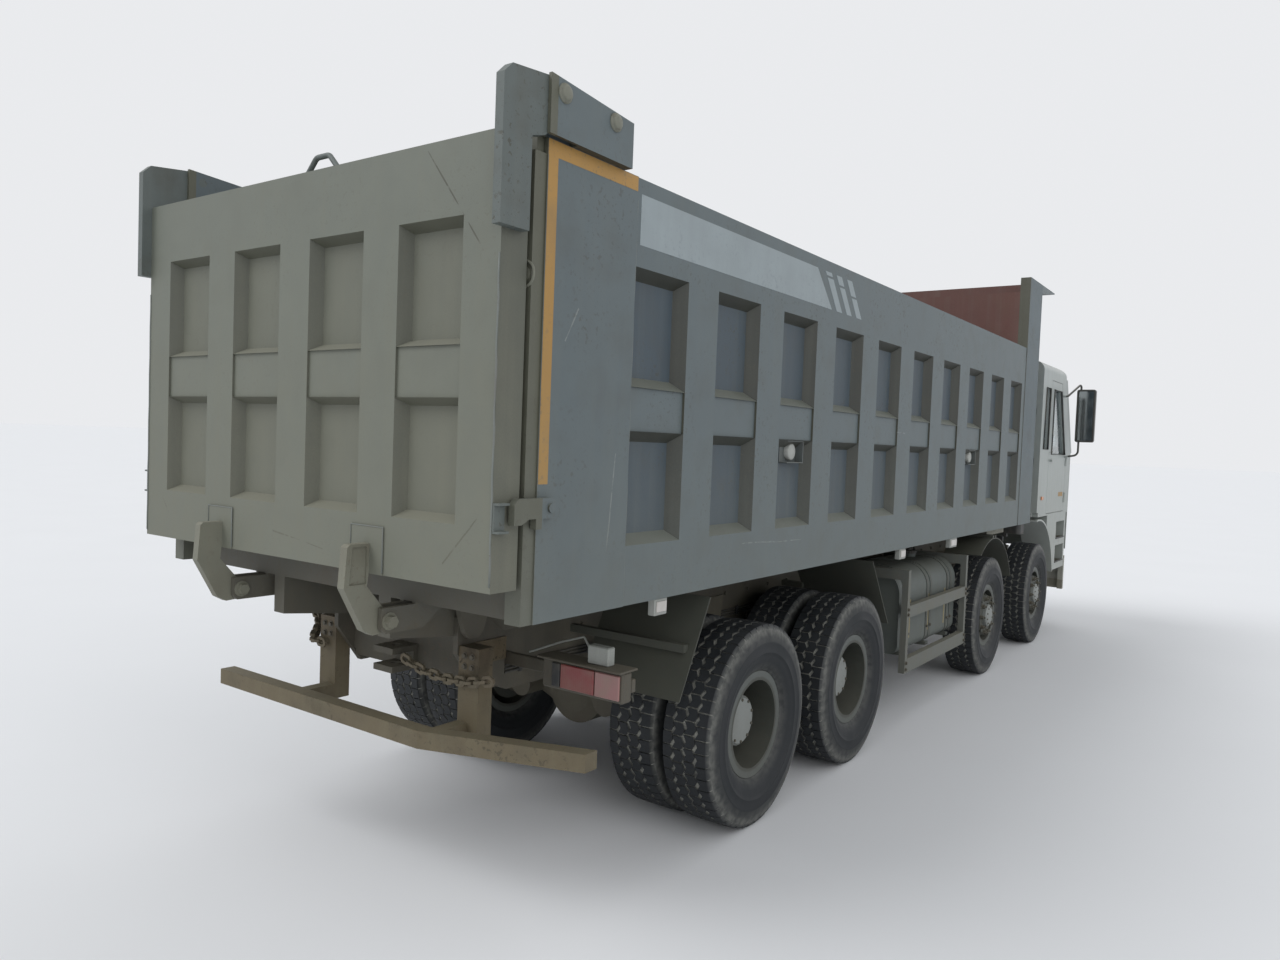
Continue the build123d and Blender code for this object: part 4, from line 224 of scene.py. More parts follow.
class SharedEffects:
    """Shader groups that more than one finish uses, each built once."""

    def __init__(self) -> None:
        """Build the groups."""
        self.weather = self._weather()
        self.recess = self._recess()
        self.between = self._between()
        self.scrape = self._scrape()

    @staticmethod
    def _weather() -> bpy.types.NodeTree:
        """Paint with patches, runs, chips and road dust; returns the group."""
        shares = ("Dust Share", "Rust Share", "Run Share", "Dusty Below", "Clean Above",
                  "Gloss Loss")
        sheet = NodeSheet.start("ShaderNodeTree", "road_weather", {
            "Place": "vector", "Facing": "vector", "Paint": "color", "Dust": "color",
            "Rust": "color", **dict.fromkeys(shares, "float"),
        }, {"Colour": "color", "Roughness": "float", "Height": "float"})
        ports = sheet.add("NodeGroupInput").outputs
        place = ports["Place"]
        upward = sheet.split(ports["Facing"])[2]
        patches, mottle, fine = (sheet.noise(place, *size) for size in (
            (1.1, 5.0), (9.0, 6.0), (140.0, 4.0)))
        # Runs are noise drawn out along Z
        drawn = sheet.add("ShaderNodeMapping", {"Vector": place, "Scale": (17.0, 17.0, 0.7)})
        runs = sheet.clouds(drawn.outputs[0], 1.0, 5.0, 0.46, 0.72)
        upright = sheet.maths("SUBTRACT", 1.0, sheet.maths("ABSOLUTE", upward))
        runs = sheet.times(sheet.times(runs, upright), ports["Run Share"])
        shade = sheet.plus(0.78, sheet.times(sheet.plus(patches, mottle), 0.22))
        hue = sheet.add("ShaderNodeHueSaturation", {"Color": ports["Paint"], "Value": shade})
        # Chips gather in patches and show the steel below
        spots = sheet.maths("MAXIMUM", sheet.clouds(place, 47.0, 3.0, 0.60, 0.65),
                            sheet.clouds(place, 105.0, 2.0, 0.66, 0.70))
        spread = sheet.clouds(place, 2.3, 4.0, 0.40, 0.62)
        chips = sheet.times(sheet.times(spots, spread), ports["Rust Share"])
        stain = sheet.times(sheet.clouds(place, 5.0, 8.0, 0.5, 0.75),
                            sheet.times(ports["Rust Share"], 0.6))
        chips = sheet.maths("MAXIMUM", chips, stain, clamp=True)
        # Dust settles low on the truck and on faces that look up
        low = sheet.ramp(sheet.split(place)[2], ports["Clean Above"], ports["Dusty Below"])
        lying = sheet.ramp(upward, 0.35, 0.9)
        settled = sheet.plus(sheet.times(low, 0.75), sheet.plus(sheet.times(lying, 0.7), runs))
        cloud = sheet.plus(0.35, sheet.times(sheet.plus(mottle, fine), 0.75))
        dust = sheet.times(sheet.plus(settled, 0.28), cloud)
        dust = sheet.times(dust, ports["Dust Share"], clamp=True)
        rusted = sheet.blend(chips, hue.outputs[0], ports["Rust"])
        rough = sheet.plus(sheet.times(mottle, 0.12),
                           sheet.times(sheet.maths("MAXIMUM", dust, chips), 0.3))
        sheet.add("NodeGroupOutput", {
            "Colour": sheet.blend(dust, rusted, ports["Dust"]),
            "Roughness": sheet.plus(rough, ports["Gloss Loss"], clamp=True),
            "Height": sheet.maths("SUBTRACT", sheet.plus(sheet.times(fine, 0.5), mottle),
                                  sheet.times(chips, 1.2)),
        })
        return sheet.tree

    @staticmethod
    def _recess() -> bpy.types.NodeTree:
        """Tones for a sunk panel, painted shade on its slopes and a ledge tone where a slope looks
        up; returns the group.
        """
        sheet = NodeSheet.start("ShaderNodeTree", "sunk_panel", {
            "Depth": "float", "Turn": "float", "Face": "color", "Panel": "color",
            "Slope": "color", "Ledge": "color", "Rise": "float", "Sunk At": "float",
            "Proud At": "float",
        }, {"Colour": "color"})
        ports = sheet.add("NodeGroupInput").outputs
        proud = sheet.ramp(ports["Depth"], ports["Sunk At"], ports["Proud At"])
        sloped = sheet.ramp(sheet.maths("ABSOLUTE", ports["Turn"]), 0.97, 0.9)
        colour = sheet.blend(proud, ports["Panel"], ports["Face"])
        # Slopes carry painted shade; slopes that look up take the ledge's dusty tone instead
        slope = sheet.blend(sheet.ramp(ports["Rise"], 0.3, 0.6), ports["Slope"], ports["Ledge"])
        sheet.add("NodeGroupOutput", {"Colour": sheet.blend(sloped, colour, slope)})
        return sheet.tree

    @staticmethod
    def _between() -> bpy.types.NodeTree:
        """Mask of what lies between two planes; returns the group."""
        sheet = NodeSheet.start("ShaderNodeTree", "between_planes", {
            "Along": "float", "Low": "float", "High": "float"}, {"Mask": "float"})
        ports = sheet.add("NodeGroupInput").outputs
        mask = sheet.both(ports["Along"], ports["Low"], ports["High"])
        sheet.add("NodeGroupOutput", {"Mask": mask})
        return sheet.tree

    @staticmethod
    def _scrape() -> bpy.types.NodeTree:
        """Mask of one thin, broken scrape from a start along a direction; returns the group."""
        sheet = NodeSheet.start("ShaderNodeTree", "scrape_line", {
            "Place": "vector", "Start": "vector", "Direction": "vector", "Length": "float",
            "Half Width": "float",
        }, {"Mask": "float"})
        ports = sheet.add("NodeGroupInput").outputs
        place, direction, half = ports["Place"], ports["Direction"], ports["Half Width"]
        wander = sheet.times(sheet.maths("SUBTRACT", sheet.noise(place, 3.0), 0.5), 0.03)
        bent = sheet.vectors("ADD", {0: place, 1: wander})[0]
        reach = sheet.vectors("SUBTRACT", {0: bent, 1: ports["Start"]})[0]
        along = sheet.vectors("DOT_PRODUCT", {0: reach, 1: direction})["Value"]
        foot = sheet.vectors("SCALE", {0: direction, "Scale": along})[0]
        away = sheet.vectors("DISTANCE", {0: reach, 1: foot})["Value"]
        line = sheet.times(sheet.ramp(away, sheet.times(half, 1.6), half),
                           sheet.both(along, 0.0, ports["Length"]))
        broken = sheet.clouds(place, 23.0, 3.0, 0.36, 0.5)
        sheet.add("NodeGroupOutput", {"Mask": sheet.times(line, broken)})
        return sheet.tree


EFFECTS = SharedEffects()


@dataclass(frozen=True)
class Sunk:
    """Where a sheet's sunk panels lie, their tones, and the painted shade on their slopes."""

    axis: int
    sunk_at: float
    proud_at: float
    panel: Colour
    # Painted shade on the slopes round the panels
    slope: Colour
    ledge: Colour


@dataclass(frozen=True)
class Turned:
    """Another tone for the faces that look one way."""

    axis: int
    start: float
    full: float
    tone: Colour
    both: bool = False


@dataclass(frozen=True)
class Strips:
    """Another tone between pairs of planes across one axis."""

    axis: int
    spans: tuple[Flat, ...]
    tone: Colour


@dataclass(frozen=True)
class Scrape:
    """A thin scrape between two points."""

    start: Point
    end: Point


class Finish:
    """A finish whose material is built once and then found by its name."""

    name: str

    def material(self) -> bpy.types.Material:
        """Return the finish's material, built at the first call."""
        found = bpy.data.materials.get(self.name)
        if found is None:
            found = bpy.data.materials.new(self.name)
            found.use_nodes = True
            found.node_tree.nodes.clear()
            sheet = NodeSheet(found.node_tree)
            coordinates = sheet.add("ShaderNodeTexCoord").outputs
            self.lay(sheet, coordinates["Object"], coordinates["Normal"])
        return found

    def lay(self, sheet: NodeSheet, place: Any, facing: Any) -> None:
        """Lay out the material's nodes.

        Args:
            sheet: Sheet of the material's tree.
            place: Object coordinates.
            facing: Direction of the face.
        """
        raise NotImplementedError


@dataclass(frozen=True)
class Weathered(Finish):
    """Painted or bare steel under road dust."""

    name: str
    paint: Colour
    dust: Colour = tone(128, 124, 110)
    rust: Colour = tone(84, 58, 40)
    dust_share: float = 0.5
    rust_share: float = 0.3
    run_share: float = 0.3
    dusty_below: float = 0.9
    clean_above: float = 2.2
    gloss_loss: float = 0.42
    metallic: float = 0.0
    bump: float = 0.25
    sunk: Sunk | None = None
    turned: Turned | None = None
    strips: tuple[Strips, ...] = ()
    scrapes: tuple[Scrape, ...] = ()
    scraped: Colour = tone(62, 62, 54)

    def painted(self, sheet: NodeSheet, place: Any, facing: Any) -> Any:
        """Lay panels with painted shade on their slopes, turned faces, strips and scrapes over the
        paint; returns the colour.
        """
        paint: Any = self.paint
        if self.sunk is not None:
            # Sunk panels take their tones, with painted shade on the slopes round them
            axis, turned = self.sunk.axis, sheet.split(facing)
            paint = sheet.group(EFFECTS.recess, {
                "Depth": sheet.maths("ABSOLUTE", sheet.split(place)[axis]), "Turn": turned[axis],
                "Face": self.paint, "Panel": self.sunk.panel, "Slope": self.sunk.slope,
                "Ledge": self.sunk.ledge, "Rise": turned[2], "Sunk At": self.sunk.sunk_at,
                "Proud At": self.sunk.proud_at,
            })["Colour"]
        if self.turned is not None:
            side = sheet.split(facing)[self.turned.axis]
            if self.turned.both:
                side = sheet.maths("ABSOLUTE", side)
            share = sheet.ramp(side, self.turned.start, self.turned.full)
            paint = sheet.blend(share, paint, self.turned.tone)
        for strips in self.strips:
            along = sheet.split(place)[strips.axis]
            for low, high in strips.spans:
                mask = sheet.group(EFFECTS.between, {"Along": along, "Low": low, "High": high})
                paint = sheet.blend(mask["Mask"], paint, strips.tone)
        for scrape in self.scrapes:
            reach = Vector(scrape.end) - Vector(scrape.start)
            mask = sheet.group(EFFECTS.scrape, {
                "Place": place, "Start": scrape.start, "Length": reach.length,
                "Direction": tuple(reach.normalized()), "Half Width": SCRAPE_HALF_WIDTH,
            })
            paint = sheet.blend(mask["Mask"], paint, self.scraped)
        return paint

    def lay(self, sheet: NodeSheet, place: Any, facing: Any) -> None:
        """Put the paint under the shared weather."""
        weather = sheet.group(EFFECTS.weather, {
            "Place": place, "Facing": facing, "Paint": self.painted(sheet, place, facing),
            "Dust": self.dust, "Rust": self.rust, "Dust Share": self.dust_share,
            "Rust Share": self.rust_share, "Run Share": self.run_share,
            "Dusty Below": self.dusty_below, "Clean Above": self.clean_above,
            "Gloss Loss": self.gloss_loss,
        })
        sheet.surface(weather["Height"], self.bump, PAINT_RELIEF, Base_Color=weather["Colour"],
                      Roughness=weather["Roughness"], Metallic=self.metallic)


@dataclass(frozen=True)
class WheelPaint(Weathered):
    """Wheel paint of one axle: dusty dish, paler flange and pale hub cap."""

    dust: Colour = tone(92, 91, 82)
    rust: Colour = tone(66, 54, 42)
    dust_share: float = 0.32
    rust_share: float = 0.35
    run_share: float = 0.1
    dusty_below: float = 0.2
    clean_above: float = 0.9
    gloss_loss: float = 0.45
    metallic: float = 0.1
    flange: Colour = tone(88, 93, 91)
    cap: Colour = tone(146, 150, 148)
    axle_x: float = 0.0
    cap_radius: float = 0.142
    flange_radius: Flat = (0.262, 0.27)

    def painted(self, sheet: NodeSheet, place: Any, facing: Any) -> Any:
        """Colour the dish, flange and cap by their distance from the axle."""
        centred = sheet.add("ShaderNodeMapping", {
            "Vector": place, "Location": (-self.axle_x, 0, -AXLE_Z), "Scale": (1, 0, 1)})
        radius = sheet.vectors("LENGTH", {0: centred.outputs[0]})["Value"]
        worn = sheet.plus(radius, sheet.times(sheet.noise(place, 30.0), 0.01))
        outer = sheet.ramp(worn, *self.flange_radius)
        inner = sheet.ramp(radius, self.cap_radius + 0.001, self.cap_radius)
        return sheet.blend(inner, sheet.blend(outer, self.paint, self.flange), self.cap)


@dataclass(frozen=True)
class Rubber(Finish):
    """Tyre rubber, its grooves packed with pale dust where the mesh says so."""

    name: str = "tyre_rubber_dusty"
    rubber: Colour = tone(20, 24, 28)
    packed: Colour = tone(152, 152, 145)
    film: Colour = tone(44, 48, 50)

    def lay(self, sheet: NodeSheet, place: Any, facing: Any) -> None:
        """Lay dust over the rubber by the mesh's packed attribute."""
        packed = sheet.add("ShaderNodeAttribute", attribute_name="packed").outputs["Fac"]
        clumps = sheet.plus(0.25, sheet.clouds(place, 26.0, 5.0, 0.3, 0.62))
        film = sheet.clouds(place, 5.0, 5.0, 0.4, 0.75)
        skin = sheet.blend(sheet.times(film, 0.5), self.rubber, self.film)
        colour = sheet.blend(sheet.times(packed, clumps, clamp=True), skin, self.packed)
        sheet.surface(sheet.noise(place, 220.0, 3.0), 0.15, 0.002, Base_Color=colour,
                      Roughness=sheet.plus(0.62, sheet.times(film, 0.25)))


@dataclass(frozen=True)
class Clear(Finish):
    """Glass of a window or a lamp, with faint dust in its tint."""

    name: str
    tint: Colour = tone(208, 220, 222)
    roughness: float = 0.05
    dust: Colour = tone(170, 172, 165)

    def lay(self, sheet: NodeSheet, place: Any, facing: Any) -> None:
        """Cloud the glass a little."""
        haze = sheet.clouds(place, 3.5, 5.0, 0.45, 0.8)
        sheet.surface(None, 0.0, 0.0, Transmission_Weight=0.9, IOR=1.45,
                      Base_Color=sheet.blend(sheet.times(haze, 0.4), self.tint, self.dust),
                      Roughness=sheet.plus(self.roughness, sheet.times(haze, 0.12)))


@dataclass(frozen=True)
class Ribbed(Finish):
    """Moulded plastic or lens with fine ribs."""

    name: str
    colour: Colour
    pitch: float = 0.012
    roughness: float = 0.3
    dust_share: float = 0.35
    coat: float = 0.0
    grime: Colour = tone(130, 124, 108)

    def lay(self, sheet: NodeSheet, place: Any, facing: Any) -> None:
        """Lay grime and ribs over the plastic."""
        grime = sheet.times(sheet.clouds(place, 12.0, 6.0, 0.35, 0.8), self.dust_share)
        # A wave texture of scale 0.314 repeats once a metre
        ribs = sheet.add("ShaderNodeTexWave", {
            "Vector": place, "Scale": 0.314 / self.pitch, "Distortion": 0.2,
        }, bands_direction="Y").outputs["Fac"]
        sheet.surface(ribs, 0.4, 0.001, Coat_Weight=self.coat,
                      Base_Color=sheet.blend(grime, self.colour, self.grime),
                      Roughness=sheet.plus(self.roughness, sheet.times(grime, 0.5), clamp=True))


@dataclass(frozen=True)
class Cloth(Finish):
    """Woven seat cloth."""

    name: str = "seat_weave"
    yarn: Colour = tone(66, 68, 74)
    gap: Colour = tone(38, 39, 43)
    worn: Colour = tone(88, 88, 90)

    def lay(self, sheet: NodeSheet, place: Any, facing: Any) -> None:
        """Weave the yarn and wear it in patches."""
        weave = sheet.add("ShaderNodeTexBrick", {
            "Vector": place, "Color1": self.yarn, "Color2": self.yarn, "Mortar": self.gap,
            "Scale": 160.0, "Mortar Size": 0.03,
        }).outputs
        colour = sheet.blend(sheet.clouds(place, 6.0, 4.0, 0.4, 0.8), weave["Color"], self.worn)
        sheet.surface(weave["Fac"], 0.3, 0.001, Base_Color=colour, Roughness=0.85,
                      Sheen_Weight=0.3)


@dataclass(frozen=True)
class FloorTone(Finish):
    """Pale studio floor with a faint cloudiness."""

    name: str
    pale: Colour

    def lay(self, sheet: NodeSheet, place: Any, facing: Any) -> None:
        """Cloud the floor's tone a little."""
        darker = tuple(0.97 * c for c in self.pale[:3]) + (1.0,)
        sheet.surface(None, 0.0, 0.0, Roughness=0.9, Specular_IOR_Level=0.0,
                      Base_Color=sheet.blend(sheet.noise(place, 0.6, 3.0), self.pale, darker))


GREY_DUST = tone(112, 116, 110)
ROAD_DUST = tone(92, 88, 76)

BED_PAINT = Weathered(
    "bed_slate_paint_and_painted_shade", tone(86, 97, 101), dust=GREY_DUST, rust=tone(66, 60, 46), dust_share=0.34,
    rust_share=0.4, run_share=0.3, dusty_below=1.35, clean_above=2.2, bump=0.2,
    # Painted shade on the slopes of the sunk panels
    sunk=Sunk(1, 1.186, 1.23, tone(54, 68, 79), tone(36, 38, 31), tone(90, 94, 84)),
    turned=Turned(0, -0.9, -0.98, tone(72, 71, 59)),
    strips=(Strips(0, ((-6.0, -4.909),), tone(84, 84, 70)),
            # Painted shade: a darker, bluer strip over the front post
            Strips(0, ((2.505, 3.1),), tone(72, 86, 93))),
    scrapes=tuple(Scrape((x, y, z), (x_end, y, z_end)) for x, z, x_end, z_end, y in (
        (-4.70, 2.62, -4.78, 2.48, -1.25), (-4.43, 2.05, -4.47, 1.6, -1.25),
        (-3.3, 1.60, -2.6, 1.57, -1.244), (-1.4, 2.25, -0.95, 2.24, -1.244),
        (-4.60, 2.75, -4.52, 2.2, 1.25), (-1.9, 1.52, -0.9, 1.56, 1.244))),
    scraped=tone(122, 128, 128),
)
FLOOR_PAINT = Weathered("bed_floor_paint", tone(80, 82, 78), dust=ROAD_DUST, dust_share=0.6,
                        rust_share=0.5, dusty_below=1.2, clean_above=1.9)
WALL_PAINT = Weathered(
    "front_wall_paint", tone(92, 102, 106), dust=GREY_DUST, dust_share=0.3, rust_share=0.4,
    run_share=0.3, clean_above=2.6, turned=Turned(0, -0.4, -0.8, tone(86, 44, 36)),
)
GATE_PAINT = Weathered(
    "tailgate_dusty_paint_and_painted_shade", tone(102, 107, 99), dust=tone(114, 114, 101), rust=tone(80, 76, 62),
    dust_share=0.55, rust_share=0.25, run_share=0.25, dusty_below=1.4, clean_above=3.0, bump=0.2,
    # Painted shade on the slopes of the tailgate's sunk panels
    sunk=Sunk(0, 5.076, 5.112, tone(97, 100, 90), tone(76, 78, 66), tone(104, 106, 96)),
    turned=Turned(1, 0.6, 0.9, tone(76, 79, 71), both=True),
    scrapes=tuple(Scrape((-5.127, *start), (-5.127, *end)) for start, end in (
        ((-0.84, 3.17), (-1.13, 2.80)), ((1.2, 1.88), (1.02, 1.66)), ((-0.98, 1.62), (-1.16, 1.80)),
        ((0.35, 2.35), (0.1, 2.31)), ((-0.25, 1.60), (0.12, 1.65)))),
)
ARM_PAINT = Weathered(
    "arm_grey_paint", tone(84, 92, 91), dust=GREY_DUST, rust=tone(62, 56, 42), dust_share=0.4,
    rust_share=0.8, run_share=0.3, clean_above=3.0, bump=0.3,
)
HOOK_PAINT = Weathered("hook_dusty_steel", tone(112, 114, 103), dust=tone(120, 118, 104),
                       rust=tone(80, 62, 44), dust_share=0.55, rust_share=0.6, clean_above=2.4)
CAB_PAINT = Weathered(
    "cab_pale_paint", tone(152, 160, 159), dust=tone(140, 136, 122), rust=tone(110, 92, 74),
    dust_share=0.35, rust_share=0.06, run_share=0.35, dusty_below=0.7, clean_above=2.3,
    gloss_loss=0.28, bump=0.06,
)
DOOR_PAINT = replace(CAB_PAINT, name="door_pale_paint", strips=(
    Strips(1, ((1.262, 1.6), (-1.6, -1.262)), tone(36, 39, 41)),
    Strips(2, ((2.168, 2.172),), tone(60, 62, 60))))
BUMPER_PAINT = replace(CAB_PAINT, name="bumper_pale_paint", dust_share=0.6, strips=(
    Strips(2, ((0.4, 0.565), (0.84, 0.9)), tone(46, 47, 47)),))
CAB_TRIM = Weathered("cab_dark_trim", tone(46, 48, 50), dust_share=0.3, rust_share=0.0,
                     clean_above=2.2, bump=0.1)
FRAME_PAINT = Weathered("chassis_dusty_paint", tone(50, 50, 47), dust=ROAD_DUST,
                        dust_share=0.55, rust_share=0.5, clean_above=1.9)
AXLE_STEEL = Weathered("axle_muddy_steel", tone(56, 53, 46), dust=ROAD_DUST,
                       dust_share=0.8, rust_share=0.6, clean_above=1.6)
RUST_STEEL = Weathered(
    "rusty_bar_steel", tone(84, 71, 50), dust=tone(116, 110, 90), rust=tone(44, 34, 25),
    dust_share=0.38, rust_share=1.5, run_share=0.4, clean_above=1.1, bump=0.5, gloss_loss=0.5,
)
CHAIN_STEEL = Weathered("chain_rusty_steel", tone(88, 76, 60), dust=tone(112, 106, 90),
                        dust_share=0.6, rust_share=1.0, clean_above=1.4, metallic=0.3, bump=0.4)
TANK_PAINT = Weathered(
    "tank_dusty_paint", tone(78, 88, 90), dust=tone(94, 97, 90), dust_share=0.55, rust_share=0.15,
    run_share=0.5, clean_above=1.8,
    strips=(Strips(0, ((-0.4195, -0.3755), (-0.3335, -0.2895), (0.1205, 0.1645), (0.2055, 0.2495),
                       (0.6595, 0.7035), (0.7455, 0.7895)), tone(40, 41, 40)),),
)
GUARD_PAINT = Weathered("guard_dusty_paint", tone(86, 94, 96), dust=tone(108, 106, 94),
                        dust_share=0.5, rust_share=0.3, clean_above=1.8)
MUD_SHEET = Weathered("mudguard_muddy_sheet", tone(58, 62, 58), dust=tone(72, 73, 64),
                      dust_share=0.6, rust_share=0.35, clean_above=1.9)
HOIST_PAINT = Weathered("hoist_dark_paint", tone(70, 74, 78), dust_share=0.4, rust_share=0.2)
BRIGHT_TUBE = Weathered("hoist_bright_tube", tone(168, 170, 172), dust_share=0.12, rust_share=0.03,
                        run_share=0.1, gloss_loss=0.12, metallic=0.9, bump=0.05)
BOLT_STEEL = Weathered("bolt_steel", tone(94, 94, 88), dust=ROAD_DUST, dust_share=0.5,
                       rust_share=0.8, clean_above=2.5, metallic=0.3)
LAMP_BODY = Weathered("lamp_housing", tone(60, 57, 52), dust=ROAD_DUST, dust_share=0.5,
                      rust_share=0.5, clean_above=1.8)
PALE_BOX = Weathered("pale_box_plastic", tone(168, 170, 166), dust=GREY_DUST, dust_share=0.5,
                     rust_share=0.0, clean_above=1.8)
BAND_WHITE = Weathered("band_white_paint", tone(142, 152, 156), dust=GREY_DUST,
                       rust=tone(112, 120, 122), dust_share=0.22, rust_share=0.3, run_share=0.3,
                       clean_above=2.6, bump=0.05)
BAND_ORANGE = Weathered("band_orange_paint", tone(166, 126, 62), dust=tone(132, 124, 100),
                        rust=tone(92, 92, 86), dust_share=0.3, rust_share=0.6, run_share=0.3,
                        clean_above=2.6, bump=0.05)
YELLOW_TAPE = Weathered("yellow_tape", tone(150, 130, 58), dust_share=0.5, rust_share=0.4,
                        clean_above=1.8)
WELD = Weathered("weld_bead", tone(112, 117, 114), dust=GREY_DUST, dust_share=0.5, rust_share=0.5,
                 clean_above=2.6, bump=0.6)
RUBBER = Rubber()
WINDOW_GLASS = Clear("window_glass")
LAMP_GLASS = Clear("headlamp_glass", tone(225, 228, 226), 0.08)
RED_LENS = Ribbed("red_lens", tone(120, 44, 44), coat=0.3)
AMBER_LENS = Ribbed("amber_lens", tone(190, 110, 44), coat=0.3)
WHITE_LENS = Ribbed("white_lens", tone(190, 186, 182), coat=0.3)
PINK_LENS = Ribbed("faded_red_lens", tone(146, 104, 102), coat=0.3, dust_share=0.6)
PLASTIC = Ribbed("moulded_black_plastic", tone(42, 44, 46), pitch=0.03, roughness=0.55)
MIRROR = Weathered("mirror_silver", tone(190, 194, 196), dust_share=0.1, rust_share=0.0,
                   run_share=0.1, gloss_loss=0.02, metallic=1.0, bump=0.0)
REFLECTOR = Weathered("lamp_reflector", tone(180, 182, 180), dust_share=0.1, rust_share=0.0,
                      gloss_loss=0.1, metallic=1.0, bump=0.3)
SEAT_CLOTH = Cloth()


def skin(rows: int, count: int, round_rows: bool, round_count: bool = True) -> list[Face]:
    """Faces between neighbouring rows of points.

    Args:
        rows: How many rows there are.
        count: How many points a row has.
        round_rows: Join the last row to the first.
        round_count: Join the last point of a row to its first.

    Returns:
        Faces of four point numbers each.
    """
    faces: list[Face] = []
    for row in range(rows if round_rows else rows - 1):
        near, far = row * count, (row + 1) % rows * count
        for i in range(count if round_count else count - 1):
            j = (i + 1) % count
            faces.append((near + i, near + j, far + j, far + i))
    return faces


def outward(made: bpy.types.Mesh, merge: bool = True) -> None:
    """Turn a mesh's normals outwards.

    Args:
        made: The mesh.
        merge: Merge points that lie together first, and drop faces without an area.
    """
    work = bmesh.new()
    work.from_mesh(made)
    if merge:
        bmesh.ops.remove_doubles(work, verts=work.verts, dist=1e-6)
        bmesh.ops.dissolve_degenerate(work, edges=work.edges, dist=1e-7)
    bmesh.ops.recalc_face_normals(work, faces=work.faces)
    work.to_mesh(made)
    work.free()


def placed(name: str, made: bpy.types.Mesh, finish: Finish | None,
           smooth: bool = False) -> bpy.types.Object:
    """Put a mesh into the scene as an object at the origin.

    Args:
        name: Name of the object.
        made: Its mesh.
        finish: Its finish, or None where the mesh has one.
        smooth: Shade its faces smoothly.

    Returns:
        The object.
    """
    if finish is not None:
        made.materials.append(finish.material())
    if smooth:
        made.shade_smooth()
    piece = bpy.data.objects.new(name, made)
    bpy.context.scene.collection.objects.link(piece)
    return piece


